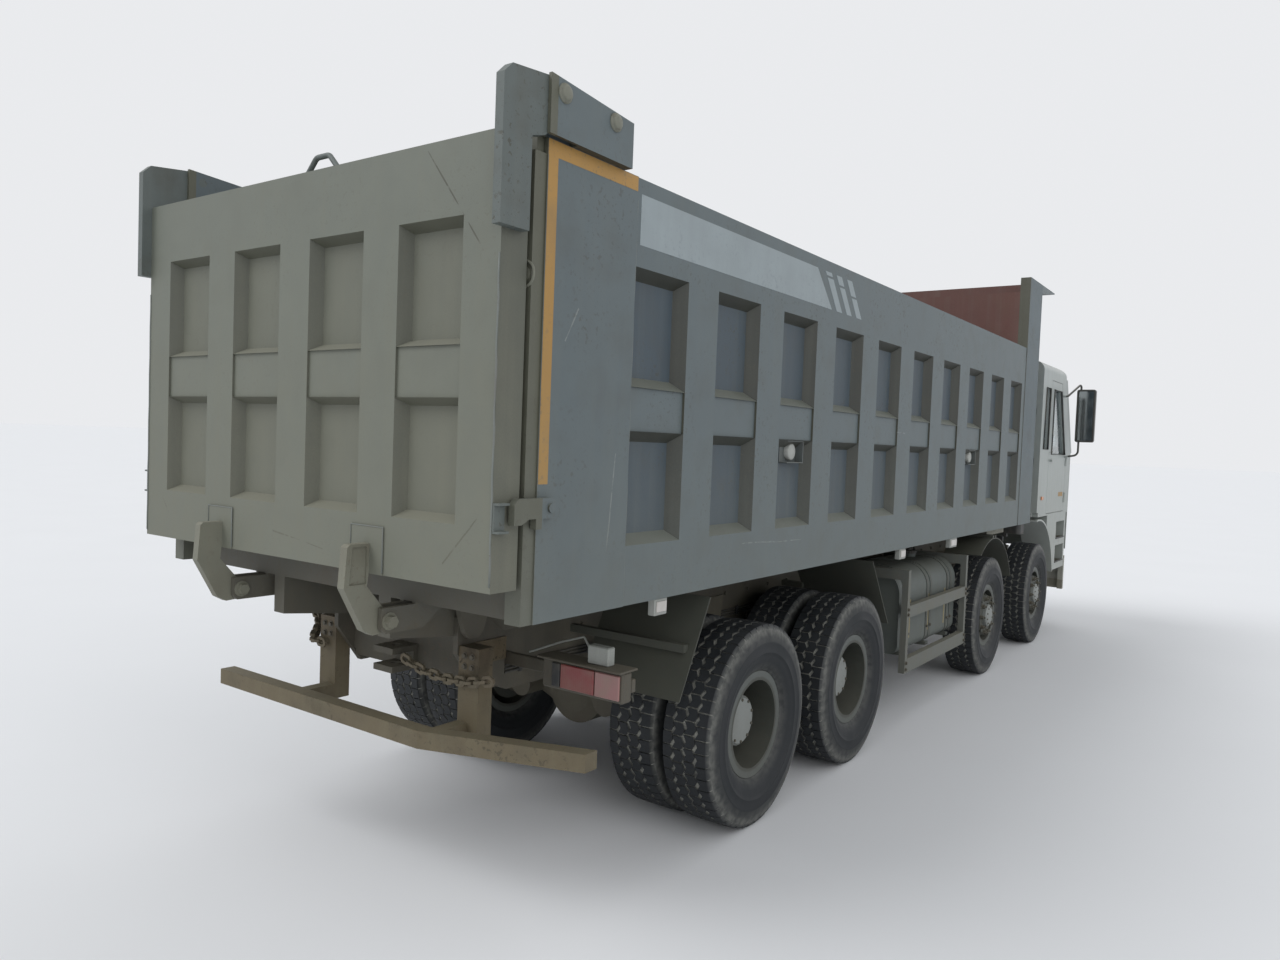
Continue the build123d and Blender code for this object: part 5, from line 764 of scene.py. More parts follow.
class Piece:
    """The faces of one piece while it is made, in the truck's frame."""

    def __init__(self) -> None:
        """Start with no faces."""
        self.points: list[Point] = []
        self.faces: list[Face] = []

    def _add(self, points: Iterable[Sequence[float]], faces: Iterable[Sequence[int]]) -> "Piece":
        """Append points, and faces that count from the first of them; returns the piece."""
        first = len(self.points)
        self.points.extend((float(p[0]), float(p[1]), float(p[2])) for p in points)
        self.faces.extend(tuple(first + i for i in face) for face in faces)
        return self

    def prism(self, outline: Sequence[Flat], axis: int, low: float, high: float,
              inset: float = 0.0) -> "Piece":
        """Fill a closed outline between two planes.

        Args:
            outline: Points in the two coordinates other than the axis, in their order.
            axis: 0, 1 or 2 for X, Y or Z.
            low: Plane of the first end.
            high: Plane of the other end.
            inset: How far the edge of the other end is drawn in, as a chamfer.

        Returns:
            The piece.
        """
        middle_a, middle_b = (sum(p[k] for p in outline) / len(outline) for k in (0, 1))

        def lifted(a: float, b: float, along: float) -> Point:
            """Point from two flat coordinates and one along the axis."""
            both = [a, b]
            both.insert(axis, along)
            return (both[0], both[1], both[2])

        rings = [[lifted(a, b, low) for a, b in outline]]
        if inset:
            step = math.copysign(inset, high - low)
            rings.append([lifted(a, b, high - step) for a, b in outline])
        drawn = []
        for a, b in outline:
            reach = max(math.hypot(a - middle_a, b - middle_b), 1e-6)
            share = (reach - inset) / reach
            drawn.append(lifted(middle_a + (a - middle_a) * share,
                                middle_b + (b - middle_b) * share, high))
        return self.loft(rings + [drawn])

    def bar(self, low: Sequence[float], high: Sequence[float], edge: float = 0.003) -> "Piece":
        """Add a box whose eight corners and twelve edges are cut off.

        Args:
            low: One corner.
            high: The opposite corner.
            edge: Width of the cut.

        Returns:
            The piece.
        """
        lo, hi = ([pick(a, b) for a, b in zip(low, high)] for pick in (min, max))
        cut = min(edge, *[(b - a) * 0.4 for a, b in zip(lo, hi)])
        ends = (0, 1)
        points: list[Point] = []
        index: dict[Face, int] = {}
        for signs in product(ends, repeat=3):
            corner = [(lo, hi)[s][k] for k, s in enumerate(signs)]
            for keep in range(3):
                p = [c if k == keep else c + (-cut if signs[k] else cut)
                     for k, c in enumerate(corner)]
                index[(*signs, keep)] = len(points)
                points.append((p[0], p[1], p[2]))

        def face(axis: int, picks: Iterable[tuple[int, int, int, int]]) -> Face:
            """Face through cut corners, each picked by its three ends and its kept axis."""
            u, v = [k for k in range(3) if k != axis]
            found = []
            for along, a, b, keep in picks:
                key = [0, 0, 0]
                key[axis], key[u], key[v] = along, a, b
                found.append(index[(*key, keep)])
            return tuple(found)

        faces = [face(keep, [(s, a, b, keep) for a, b in ((0, 0), (1, 0), (1, 1), (0, 1))])
                 for keep in range(3) for s in ends]
        for axis in range(3):
            u, v = [k for k in range(3) if k != axis]
            faces += [face(axis, [(s, a, b, keep) for s, keep in ((0, u), (1, u), (1, v), (0, v))])
                      for a, b in product(ends, repeat=2)]
        faces += [tuple(index[(*signs, keep)] for keep in range(3))
                  for signs in product(ends, repeat=3)]
        return self._add(points, faces)

    def tube(self, route: Sequence[Point], radius: float, sides: int = 8,
             closed: bool = False) -> "Piece":
        """Add a round tube along a route of points.

        Args:
            route: Points that the tube follows.
            radius: Its radius.
            sides: How many faces go round it.
            closed: Join the last point to the first.

        Returns:
            The piece.
        """
        line = [Vector(p) for p in route]
        count = len(line)
        rings: list[Point] = []
        normal = Vector((0, 0, 1))
        for i, p in enumerate(line):
            before = line[(i - 1) % count] if closed or i else p
            after = line[(i + 1) % count] if closed or i < count - 1 else p
            along = (after - before).normalized()
            if i == 0 and abs(along.dot(normal)) > 0.9:
                normal = Vector((1, 0, 0))
            normal = (normal - along * normal.dot(along)).normalized()
            other = along.cross(normal)
            for k in range(sides):
                angle = 2 * math.pi * k / sides
                q = p + radius * (math.cos(angle) * normal + math.sin(angle) * other)
                rings.append((q.x, q.y, q.z))
        faces = skin(count, sides, closed)
        if not closed:
            faces += [tuple(reversed(range(sides))),
                      tuple((count - 1) * sides + k for k in range(sides))]
        return self._add(rings, faces)

    def turned(self, profile: Sequence[Flat], centre: Sequence[float], axis: int = 1,
               segments: int = 32, closed: bool = False) -> "Piece":
        """Turn a profile about an axis.

        Args:
            profile: Points of (place along the axis, radius).
            centre: A point on the axis.
            axis: 0, 1 or 2 for X, Y or Z.
            segments: How many steps go round.
            closed: Join the profile's ends.

        Returns:
            The piece.
        """
        u, v = [k for k in range(3) if k != axis]
        points: list[Point] = []
        for k in range(segments):
            angle = 2 * math.pi * k / segments
            for along, radius in profile:
                p = [0.0, 0.0, 0.0]
                p[axis] = centre[axis] + along
                p[u] = centre[u] + radius * math.cos(angle)
                p[v] = centre[v] + radius * math.sin(angle)
                points.append((p[0], p[1], p[2]))
        return self._add(points, skin(segments, len(profile), True, closed))

    def loft(self, sections: Sequence[Sequence[Point]]) -> "Piece":
        """Skin closed sections of equal count, one after another, with both ends closed."""
        count, last = len(sections[0]), len(sections) - 1
        faces = [tuple(reversed(range(count))), *skin(last + 1, count, False),
                 tuple(last * count + i for i in range(count))]
        return self._add([p for section in sections for p in section], faces)

    def mesh(self, name: str) -> bpy.types.Mesh:
        """Return the faces as a mesh whose normals point outwards."""
        made = bpy.data.meshes.new(name)
        made.from_pydata(self.points, [], self.faces)
        outward(made)
        return made

    def make(self, name: str, finish: Finish, smooth: bool = False) -> bpy.types.Object:
        """Return the piece as an object with its finish, shaded smoothly if asked."""
        return placed(name, self.mesh(name), finish, smooth)


def circle(radius: float, centre: Flat, count: int = 16) -> list[Flat]:
    """Points of a flat circle."""
    return [(centre[0] + radius * math.cos(2 * math.pi * k / count),
             centre[1] + radius * math.sin(2 * math.pi * k / count)) for k in range(count)]


class RepeatTrees:
    """Geometry node trees for what repeats, built once."""

    def __init__(self) -> None:
        """Build the trees."""
        self.ring = self._ring()
        self.bolts = self._bolts()
        self.row = self._row()

    @staticmethod
    def _start(name: str, inputs: dict[str, str]) -> tuple[NodeSheet, Any]:
        """Start a tree with a geometry in and out; returns its sheet and its input ports."""
        sheet = NodeSheet.start("GeometryNodeTree", name, {
            "Geometry": "geometry", **inputs, "Finish": "material"}, {"Geometry": "geometry"})
        return sheet, sheet.add("NodeGroupInput").outputs

    @staticmethod
    def _end(sheet: NodeSheet, geometry: Any, ports: Any) -> bpy.types.NodeTree:
        """Realise the instances, set the finish and close the tree; returns the tree."""
        real = sheet.add("GeometryNodeRealizeInstances", {"Geometry": geometry}).outputs[0]
        dressed = sheet.add("GeometryNodeSetMaterial", {
            "Geometry": real, "Material": ports["Finish"]}).outputs[0]
        sheet.add("NodeGroupOutput", {"Geometry": dressed})
        return sheet.tree

    @staticmethod
    def _spread(sheet: NodeSheet, points: Any, part: Any, **turn: Any) -> Any:
        """Set a part on points, turned if a rotation is given; returns the instances."""
        return sheet.add("GeometryNodeInstanceOnPoints", {
            "Points": points, "Instance": part, **turn}).outputs[0]

    @staticmethod
    def _shape(sheet: NodeSheet, port: Any) -> Any:
        """Return the geometry of an object that a port names."""
        return sheet.add("GeometryNodeObjectInfo", {"Object": port}).outputs["Geometry"]

    @staticmethod
    def _joined(sheet: NodeSheet, *parts: Any) -> Any:
        """Join geometries; returns the result's socket."""
        whole = sheet.add("GeometryNodeJoinGeometry")
        for part in parts:
            sheet.tree.links.new(part, whole.inputs[0])
        return whole.outputs[0]

    @classmethod
    def _ring(cls) -> bpy.types.NodeTree:
        """Turn one part round the Z axis, add a core, lay the axis along Y, repeat for twins."""
        sheet, ports = cls._start("ring_of_parts", {
            "Part": "object", "Core": "object", "Count": "int", "Centre": "vector",
            "Copies": "int", "Copy Step": "vector",
        })
        line = sheet.add("GeometryNodeMeshLine", {"Count": ports["Count"], "Offset": (0, 0, 0)})
        step = sheet.maths("DIVIDE", 2 * math.pi, ports["Count"])
        angle = sheet.times(sheet.add("GeometryNodeInputIndex").outputs[0], step)
        turn = sheet.add("ShaderNodeCombineXYZ", {2: angle}).outputs[0]
        ring = cls._spread(sheet, line.outputs[0], cls._shape(sheet, ports["Part"]), Rotation=turn)
        whole = cls._joined(sheet, ring, cls._shape(sheet, ports["Core"]))
        laid = sheet.add("GeometryNodeTransform", {
            "Geometry": whole, "Rotation": (-math.pi / 2, 0, 0)}).outputs[0]
        copies = sheet.add("GeometryNodeMeshLine", {
            "Count": ports["Copies"], "Start Location": ports["Centre"],
            "Offset": ports["Copy Step"],
        }).outputs[0]
        return cls._end(sheet, cls._spread(sheet, copies, laid), ports)

    @classmethod
    def _bolts(cls) -> bpy.types.NodeTree:
        """Set a hexagon head on a washer at every point, along its facing attribute."""
        sheet, ports = cls._start("bolt_heads", {
            "Head Radius": "float", "Head Height": "float", "Washer Radius": "float"})
        height = ports["Head Height"]
        washer, head = (sheet.add("GeometryNodeMeshCylinder", {
            "Vertices": corner_count, "Radius": ports[radius], "Depth": depth,
        }).outputs[0] for corner_count, radius, depth in (
            (12, "Washer Radius", sheet.times(height, 0.3)), (6, "Head Radius", height)))
        lift = sheet.add("ShaderNodeCombineXYZ", {2: sheet.times(height, 0.5)}).outputs[0]
        head = sheet.add("GeometryNodeTransform", {
            "Geometry": head, "Translation": lift}).outputs[0]
        facing = sheet.add("GeometryNodeInputNamedAttribute", {"Name": "facing"},
                           data_type="FLOAT_VECTOR").outputs[0]
        turn = sheet.add("FunctionNodeAlignRotationToVector", {"Vector": facing},
                         axis="Z").outputs[0]
        whole = cls._joined(sheet, washer, head)
        return cls._end(sheet, cls._spread(sheet, ports["Geometry"], whole, Rotation=turn), ports)

    @classmethod
    def _row(cls) -> bpy.types.NodeTree:
        """Repeat one part along a straight step."""
        sheet, ports = cls._start("row_of_parts", {
            "Part": "object", "Count": "int", "Step": "vector"})
        line = sheet.add("GeometryNodeMeshLine", {"Count": ports["Count"], "Offset": ports["Step"]})
        part = cls._shape(sheet, ports["Part"])
        return cls._end(sheet, cls._spread(sheet, line.outputs[0], part), ports)


TREES = RepeatTrees()


def grown(name: str, tree: bpy.types.NodeTree, finish: Finish, inputs: dict[str, Any],
          base: bpy.types.Mesh | None = None) -> bpy.types.Object:
    """Run a geometry node tree and keep its result as a plain mesh.

    Args:
        name: Name of the piece.
        tree: The tree.
        finish: The piece's finish.
        inputs: Values of the tree's named inputs.
        base: Mesh that the tree starts from.

    Returns:
        The piece, at the origin with its place in its mesh.
    """
    host = placed(name + "_host", base or bpy.data.meshes.new(name + "_base"), None)
    modifier = host.modifiers.new("grow", "NODES")
    modifier.node_group = tree
    named = {item.name: item.identifier for item in tree.interface.items_tree
             if item.item_type == "SOCKET" and item.in_out == "INPUT"}
    for label, value in {**inputs, "Finish": finish.material()}.items():
        modifier[named[label]] = value
    depsgraph = bpy.context.evaluated_depsgraph_get()
    made = bpy.data.meshes.new_from_object(host.evaluated_get(depsgraph), depsgraph=depsgraph)
    host.modifiers.remove(modifier)
    bpy.data.objects.remove(host)
    made.name = name
    return placed(name, made, None if made.materials else finish)


def loose(name: str, mesh: bpy.types.Mesh) -> bpy.types.Object:
    """Object that a tree repeats, kept out of the scene's collection."""
    return bpy.data.objects.new(name, mesh)


def dress(node: str, finish: Finish) -> None:
    """Give a CAD node a finish in place of the plain one."""
    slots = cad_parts[node].data.materials
    slots.clear()
    slots.append(finish.material())


def packed_mesh(name: str, points: Sequence[Point], faces: Sequence[Face],
                packed: Sequence[float]) -> bpy.types.Mesh:
    """Mesh of a tyre's part.

    Args:
        name: Name of the mesh.
        points: Its points.
        faces: Its faces.
        packed: How much dust lies at each point, 0 to 1.

    Returns:
        The mesh.
    """
    made = bpy.data.meshes.new(name)
    made.from_pydata(points, [], faces)
    made.attributes.new("packed", "FLOAT", "POINT").data.foreach_set("value", packed)
    return made


class SubAssembly:
    """Pieces that belong together and ride on the truck's bodies."""

    def keep(self, piece: bpy.types.Object, body: str, slot: Slot) -> bpy.types.Object:
        """Let a finished piece ride on a body and report it.

        Args:
            piece: The finished piece.
            body: Name of the CAD body.
            slot: Material slot of the record; not used.

        Returns:
            The piece.
        """
        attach(piece, body)
        LOG.info("%s: %s rides on %s", type(self).__name__, piece.name, body)
        return piece

    def bolts(self, name: str, body: str, places: Sequence[tuple[Point, Point]], radius: float,
              finish: Finish = BOLT_STEEL, slot: Slot = Slot.FRAME) -> bpy.types.Object:
        """Grow bolt heads at places.

        Args:
            name: Name of the piece.
            body: Name of the CAD body.
            places: Foot and facing direction of each bolt.
            radius: Radius of a head's corners.
            finish: Finish of the bolts.
            slot: Material slot of the record.

        Returns:
            The piece.
        """
        base = bpy.data.meshes.new(name + "_feet")
        base.from_pydata([p for p, _ in places], [], [])
        facing = base.attributes.new("facing", "FLOAT_VECTOR", "POINT")
        facing.data.foreach_set("vector", [c for _, d in places for c in d])
        piece = grown(name, TREES.bolts, finish, {
            "Head Radius": radius, "Head Height": radius * 1.1, "Washer Radius": radius * 1.45,
        }, base)
        return self.keep(piece, body, slot)


@dataclass
class Wheels(SubAssembly):
    """Tyres with their tread, and the nuts and cap bolts of the wheels."""

    radius: float = 0.5622
    groove_depth: float = 0.013
    pitches: int = 50
    half_tread: float = 0.129
    groove: float = 0.0135
    zigzag: float = 0.009
    ribs: int = 4
    slot_width: float = 0.0075
    outer_y: float = 1.0875
    twin_step: float = 0.35
    segments: int = 100
    lug_root: float = 0.002
    crown: float = 0.004
    shoulder: Flat = (0.531, 0.0115)
    nut_count: int = 10
    nut_circle: float = 0.1675
    cap_bolt_circles: Flat = (0.118, 0.085)
    cap_radii: Flat = (0.142, 0.107)
    faces_y: tuple[Flat, Flat] = ((1.1125, 0.9265), (1.235, 1.195))

    def carcass(self) -> bpy.types.Mesh:
        """Turn the tyre's casing about Z, with its packed attribute; returns the mesh."""
        base = self.radius - self.groove_depth
        half = (
            (0.094, 0.2595, 0.0), (0.094, 0.2975, 0.1), (0.109, 0.3, 0.2), (0.116, 0.308, 0.1),
            (0.121, 0.318, 0.1), (0.1235, 0.3185, 0.1), (0.131, 0.332, 0.05), (0.1415, 0.353, 0.0),
            (0.1505, 0.38, 0.0), (0.1548, 0.4, 0.0), (0.1574, 0.402, 0.0), (0.1574, 0.408, 0.0),
            (0.1562, 0.411, 0.0), (0.1572, 0.435, 0.0), (0.1568, 0.452, 0.0), (0.1574, 0.455, 0.0),
            (0.1572, 0.461, 0.0), (0.1556, 0.465, 0.05), (0.1515, 0.492, 0.1), (0.147, 0.512, 0.25),
            (0.1425, 0.527, 0.3), (0.136, 0.541, 0.45), (self.half_tread, base - 0.002, 0.8),
            (0.06, base, 1.0),
        )
        profile = [(y, r, p) for y, r, p in half] + [(-y, r, p) for y, r, p in reversed(half)]
        casing = Piece().turned([(y, r) for y, r, _ in profile], (0, 0, 0), 2, self.segments,
                                closed=True)
        made = packed_mesh("tyre_casing", casing.points,
                           [(a, d, c, b) for a, b, c, d in casing.faces],
                           [share for _, _, share in profile] * self.segments)
        made.shade_smooth()
        return made

    def tread_slice(self) -> bpy.types.Mesh:
        """Make the lugs of one pitch, each with a zigzag edge; returns the mesh."""
        points: list[Point] = []
        packed: list[float] = []
        faces: list[Face] = []
        half_angle = math.pi / self.pitches - self.slot_width / 2 / self.radius
        low = self.radius - self.groove_depth - self.lug_root
        width = (2 * self.half_tread - (self.ribs - 1) * self.groove) / self.ribs
        for rib in range(self.ribs):
            near = -self.half_tread + rib * (width + self.groove)
            shift = (half_angle * 0.5) if rib % 2 else 0.0
            first, last = rib == 0, rib == self.ribs - 1
            outline = [(turn * half_angle + shift,
                        edge + (0 if plain else swing * self.zigzag), way)
                       for way, edge, plain in ((-1, near, first), (1, near + width, last))
                       for turn, swing in ((way, 1), (0.0, -1), (-way, 1))]
            start, count = len(points), len(outline)
            for height, share in ((0, 1.0), (1, 0.0)):
                for angle, along, side in outline:
                    outer = (first and side < 0) or (last and side > 0)
                    crown = self.crown * abs(along / self.half_tread) ** 3
                    radius = self.radius - crown if height else low
                    across = along
                    if outer and not height:
                        radius = self.shoulder[0]
                        across = along + math.copysign(self.shoulder[1], along)
                    points.append((radius * math.cos(angle), radius * math.sin(angle), across))
                    packed.append(share * (0.3 if outer else 1.0))
            faces += [tuple(start + i for i in face) for face in skin(2, count, False)]
            top = start + count
            faces += [(top, top + 1, top + 4, top + 5), (top + 1, top + 2, top + 3, top + 4)]
        made = packed_mesh("tread_slice", points, faces, packed)
        outward(made, merge=False)
        return made

    def nut_mesh(self, steered: bool, cap_y: float, disc_y: float) -> bpy.types.Mesh:
        """One wheel nut and one cap bolt, with the wheel's axis along Z.

        Args:
            steered: Whether the wheel is a steered one.
            cap_y: Place of the hub cap's face along the axis.
            disc_y: Place of the disc's face along the axis.

        Returns:
            The mesh.
        """
        nut = Piece()
        # Washer, nut and stud, one on the other
        for radius, sides, low, high, inset in (
                (0.024, 12, 0.0, 0.006, 0.0), (0.019, 6, 0.006, 0.03, 0.003),
                (0.009, 8, 0.03, 0.046, 0.002)):
            nut.prism(circle(radius, (self.nut_circle, 0), sides), 2, disc_y + low, disc_y + high,
                      inset)
        turn = math.pi / self.nut_count
        ring = self.cap_bolt_circles[steered]
        place = (ring * math.cos(turn), ring * math.sin(turn))
        nut.prism(circle(0.0085, place, 6), 2, cap_y - 0.002, cap_y + 0.0065, 0.001)
        return nut.mesh("wheel_nut")

    def build(self) -> None:
        """Make and place the pieces of all eight wheels."""
        casing = loose("tyre_casing", self.carcass())
        tread = loose("tread_slice", self.tread_slice())
        empty = loose("no_core", bpy.data.meshes.new("no_core"))
        for axle, x in AXLE_X.items():
            steered = axle < 3
            for side, name in SIDES:
                body = f"wheel_{axle}_{name}"
                tyre = grown(f"tyre_tread_{axle}_{name}", TREES.ring, RUBBER, {
                    "Part": tread, "Core": casing, "Count": self.pitches,
                    "Centre": (x, side * self.outer_y, AXLE_Z), "Copies": 1 if steered else 2,
                    "Copy Step": (0.0, -side * self.twin_step, 0.0),
                })
                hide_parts(f"tyre_{axle}_{name}")
                self.keep(tyre, body, Slot.TYRE)
                nut = self.nut_mesh(steered, *self.faces_y[steered])
                nuts = grown(f"wheel_nuts_{axle}_{name}", TREES.ring, BOLT_STEEL, {
                    "Part": loose("nut", nut), "Core": empty, "Count": self.nut_count,
                    "Centre": (x, 0.0, AXLE_Z), "Copies": 1, "Copy Step": (0.0, 0.0, 0.0),
                })
                if side < 0:
                    nuts.data.transform(Matrix.Translation((x, 0, AXLE_Z))
                                        @ Matrix.Rotation(math.pi, 4, "Z")
                                        @ Matrix.Translation((-x, 0, -AXLE_Z)))
                self.keep(nuts, body, Slot.RIM)
                dress(f"rim_{axle}_{name}", WheelPaint(
                    f"wheel_paint_{axle}", tone(62, 65, 60), axle_x=x,
                    cap_radius=self.cap_radii[steered]))


@dataclass
class BedTrim(SubAssembly):
    """Painted bands, weld seams, bolts, reflectors and marker boxes of the bed."""

    rear: float = -4.910
    flange_x: float = -4.972
    post_end: float = -4.335
    front_post: float = 2.501
    outer: float = 1.25
    skin: float = 1.244
    top: float = 3.222
    bottom: float = 1.395
    band: Flat = (2.944, 3.158)
    band_start: float = -4.303
    band_end: Flat = (-2.54, -2.321)
    stripes: tuple[tuple[float, float, float, float, float], ...] = (
        (-2.432, -2.346, -2.168, -2.250, 0.90),
        (-2.275, -2.196, -2.020, -2.095, 0.76),
        (-2.117, -2.038, -1.862, -1.943, 0.58),
    )
    stripe_break: float = 0.06
    paint_depth: float = 0.0008
    edge_band_foot: float = 1.93
    markers: tuple[Flat, ...] = ((-4.02, 0.05), (-0.85, 0.06), (0.38, 0.09))
    guard_z: Flat = (2.018, 2.146)
    guard_length: float = 0.205
    guard_sheet: float = 0.006

    def _paint(self, piece: Piece, side: int, outline: Sequence[Flat], foot: float) -> None:
        """Lay a flat outline of (X, Z) on one side of the bed."""
        piece.prism(outline, 1, side * foot, side * (foot + self.paint_depth))

    def bands(self, side: int, name: str) -> None:
        """Lay the orange and white paint on one side."""
        orange, white = Piece(), Piece()
        low, high = self.top - 0.062, self.top - 0.002
        for start, end, foot, head in (
                (self.rear + 0.002, self.post_end - 0.004, low, high),
                (self.rear + 0.004, self.rear + 0.058, self.edge_band_foot, low)):
            self._paint(orange, side, ((start, foot), (end, foot), (end, head), (start, head)),
                        self.outer)
        self.keep(orange.make(f"orange_band_{name}", BAND_ORANGE), "bed", Slot.BED)
        low, high = self.band
        self._paint(white, side, ((self.band_start, low), (self.band_end[1], low),
                                  (self.band_end[0], high), (self.band_start, high)), self.skin)
        for top_rear, top_front, foot_front, foot_rear, split in self.stripes:
            for shares in ((0.0, split - self.stripe_break), (split, 1.0)):
                (rear_0, z_0, front_0), (rear_1, z_1, front_1) = (
                    (foot_rear + (top_rear - foot_rear) * share, low + (high - low) * share,
                     foot_front + (top_front - foot_front) * share) for share in shares)
                self._paint(white, side, ((rear_0, z_0), (front_0, z_0), (front_1, z_1),
                                          (rear_1, z_1)), self.skin)
        self.keep(white.make(f"white_band_{name}", BAND_WHITE), "bed", Slot.BED)

    def seams(self, side: int, name: str) -> None:
        """Run weld beads down the two posts of one side."""
        bead = Piece()
        y = side * (self.skin + 0.001)
        for x in (self.post_end + 0.003, self.front_post - 0.003):
            route = [(x + 0.0015 * math.sin(k * 1.7), y, self.bottom + 0.02 + k * 0.09)
                     for k in range(20)]
            bead.tube(route, 0.003, 6)
        self.keep(bead.make(f"weld_seams_{name}", WELD, smooth=True), "bed", Slot.BED)

    def fittings(self) -> None:
        """Bolts of the ears, ring reflectors, flange tops, marker boxes and floor edge plates."""
        heads, ring, tops, boxes, lens, plates = (Piece() for _ in range(6))
        bolt = ((0.0, 0.037), (0.006, 0.037), (0.0065, 0.03), (0.014, 0.029), (0.019, 0.022),
                (0.021, 0.0))
        rim = ((0.0, 0.054), (-0.005, 0.054), (-0.008, 0.049), (-0.004, 0.043), (0.0, 0.043))
        for side, _ in SIDES:
            for x, z in ((-4.873, 3.385), (-4.561, 3.372)):
                heads.turned([(side * along, radius) for along, radius in bolt],
                             (x, side * 1.2908, z), 1, 24)
            centre = (self.flange_x, side * 1.208, 2.71)
            ring.turned(rim, centre, 0, 28)
            ring.turned(((0.0, 0.028), (-0.004, 0.028), (-0.005, 0.0)), centre, 0, 20)
            tops.bar((-4.947, side * 1.165, 3.155),
                     (self.rear - 0.0005, side * 1.2295, self.top), 0.002)
            for x, length in self.markers:
                y = side * 1.215
                boxes.bar((x - length, y - 0.02, 1.315), (x + length, y + 0.02, 1.3945), 0.004)
                lens.bar((x - length * 0.8, y + side * 0.019, 1.33),
                         (x + length * 0.8, y + side * 0.026, 1.38), 0.003)
            plates.bar((1.86, side * 1.104, 1.312), (2.5, side * 1.112, 1.3945), 0.002)
        self.keep(heads.make("ear_bolts", HOOK_PAINT, smooth=True), "bed", Slot.BED)
        for piece, name, finish, slot in (
                (ring, "ring_reflectors", HOOK_PAINT, Slot.BED),
                (tops, "flange_tops", BED_PAINT, Slot.BED),
                (boxes, "marker_boxes", PALE_BOX, Slot.LAMP),
                (plates, "floor_edge_plates", HOOK_PAINT, Slot.BED),
                (lens, "marker_lenses", WHITE_LENS, Slot.LAMP)):
            self.keep(piece.make(name, finish), "bed", slot)
        self.side_lamps()

    def side_lamps(self) -> None:
        """Round side lamps in their guards, let into two windows of each side."""
        guard, lamp = Piece(), Piece()
        foot, brow = 1.1842, 1.238
        low, high = self.guard_z
        for side, _ in SIDES:
            for x in (-2.815, 0.69):
                near, far, end = side * foot, side * brow, x + self.guard_length
                for x_low, z_low, z_high in ((x, low, low + self.guard_sheet),
                                             (x, high - self.guard_sheet, high),
                                             (end - self.guard_sheet, low, high)):
                    guard.bar((x_low, near, z_low), (end, far, z_high), 0.002)
                guard.bar((x, near, low), (end, side * (foot + 0.004), high), 0.001)
                lamp.turned([(side * along, radius) for along, radius in (
                    (0.0, 0.048), (0.026, 0.048), (0.03, 0.042), (0.033, 0.02), (0.034, 0.0))],
                    (x + 0.1, side * (foot + 0.003), 2.082), 1, 24)
        self.keep(guard.make("side_lamp_guards", GUARD_PAINT), "bed", Slot.BED)
        self.keep(lamp.make("side_lamps", PALE_BOX, smooth=True), "bed", Slot.LAMP)

    def build(self) -> None:
        """Make and place the bed's pieces."""
        for side, name in SIDES:
            self.bands(side, name)
            self.seams(side, name)
        self.fittings()


@dataclass
class GateTrim(SubAssembly):
    """Weld seams of the tailgate and pin nuts of its hooks."""

    rear: float = -5.127
    half: float = 1.235
    hook_y: float = 0.54
    pin_x: float = -5.045
    pin_z: float = 1.333

    def build(self) -> None:
        """Make and place the tailgate's pieces."""
        bead = Piece()
        x = self.rear - 0.001
        for side, _ in SIDES:
            low, high = side * self.hook_y - 0.1, side * self.hook_y + 0.1
            bead.tube([(x - 0.004, low, 1.545), (x - 0.004, low, 1.727), (x - 0.004, high, 1.727),
                       (x - 0.004, high, 1.545)], 0.0035, 6)
            edge = side * (self.half - 0.004)
            bead.tube([(x, edge + side * 0.0015 * math.sin(k * 2.1), 1.56 + k * 0.08)
                       for k in range(16)], 0.004, 6)
        self.keep(bead.make("gate_weld_seams", WELD, smooth=True), "tailgate", Slot.GATE)
        places: list[tuple[Point, Point]] = []
        for side, _ in SIDES:
            for edge in (-1, 1):
                y = side * self.hook_y + edge * 0.049
                places.append(((self.pin_x, y, self.pin_z), (0, edge, 0)))
        self.bolts("hook_pin_nuts", "bed", places, 0.026, HOOK_PAINT, Slot.BED)


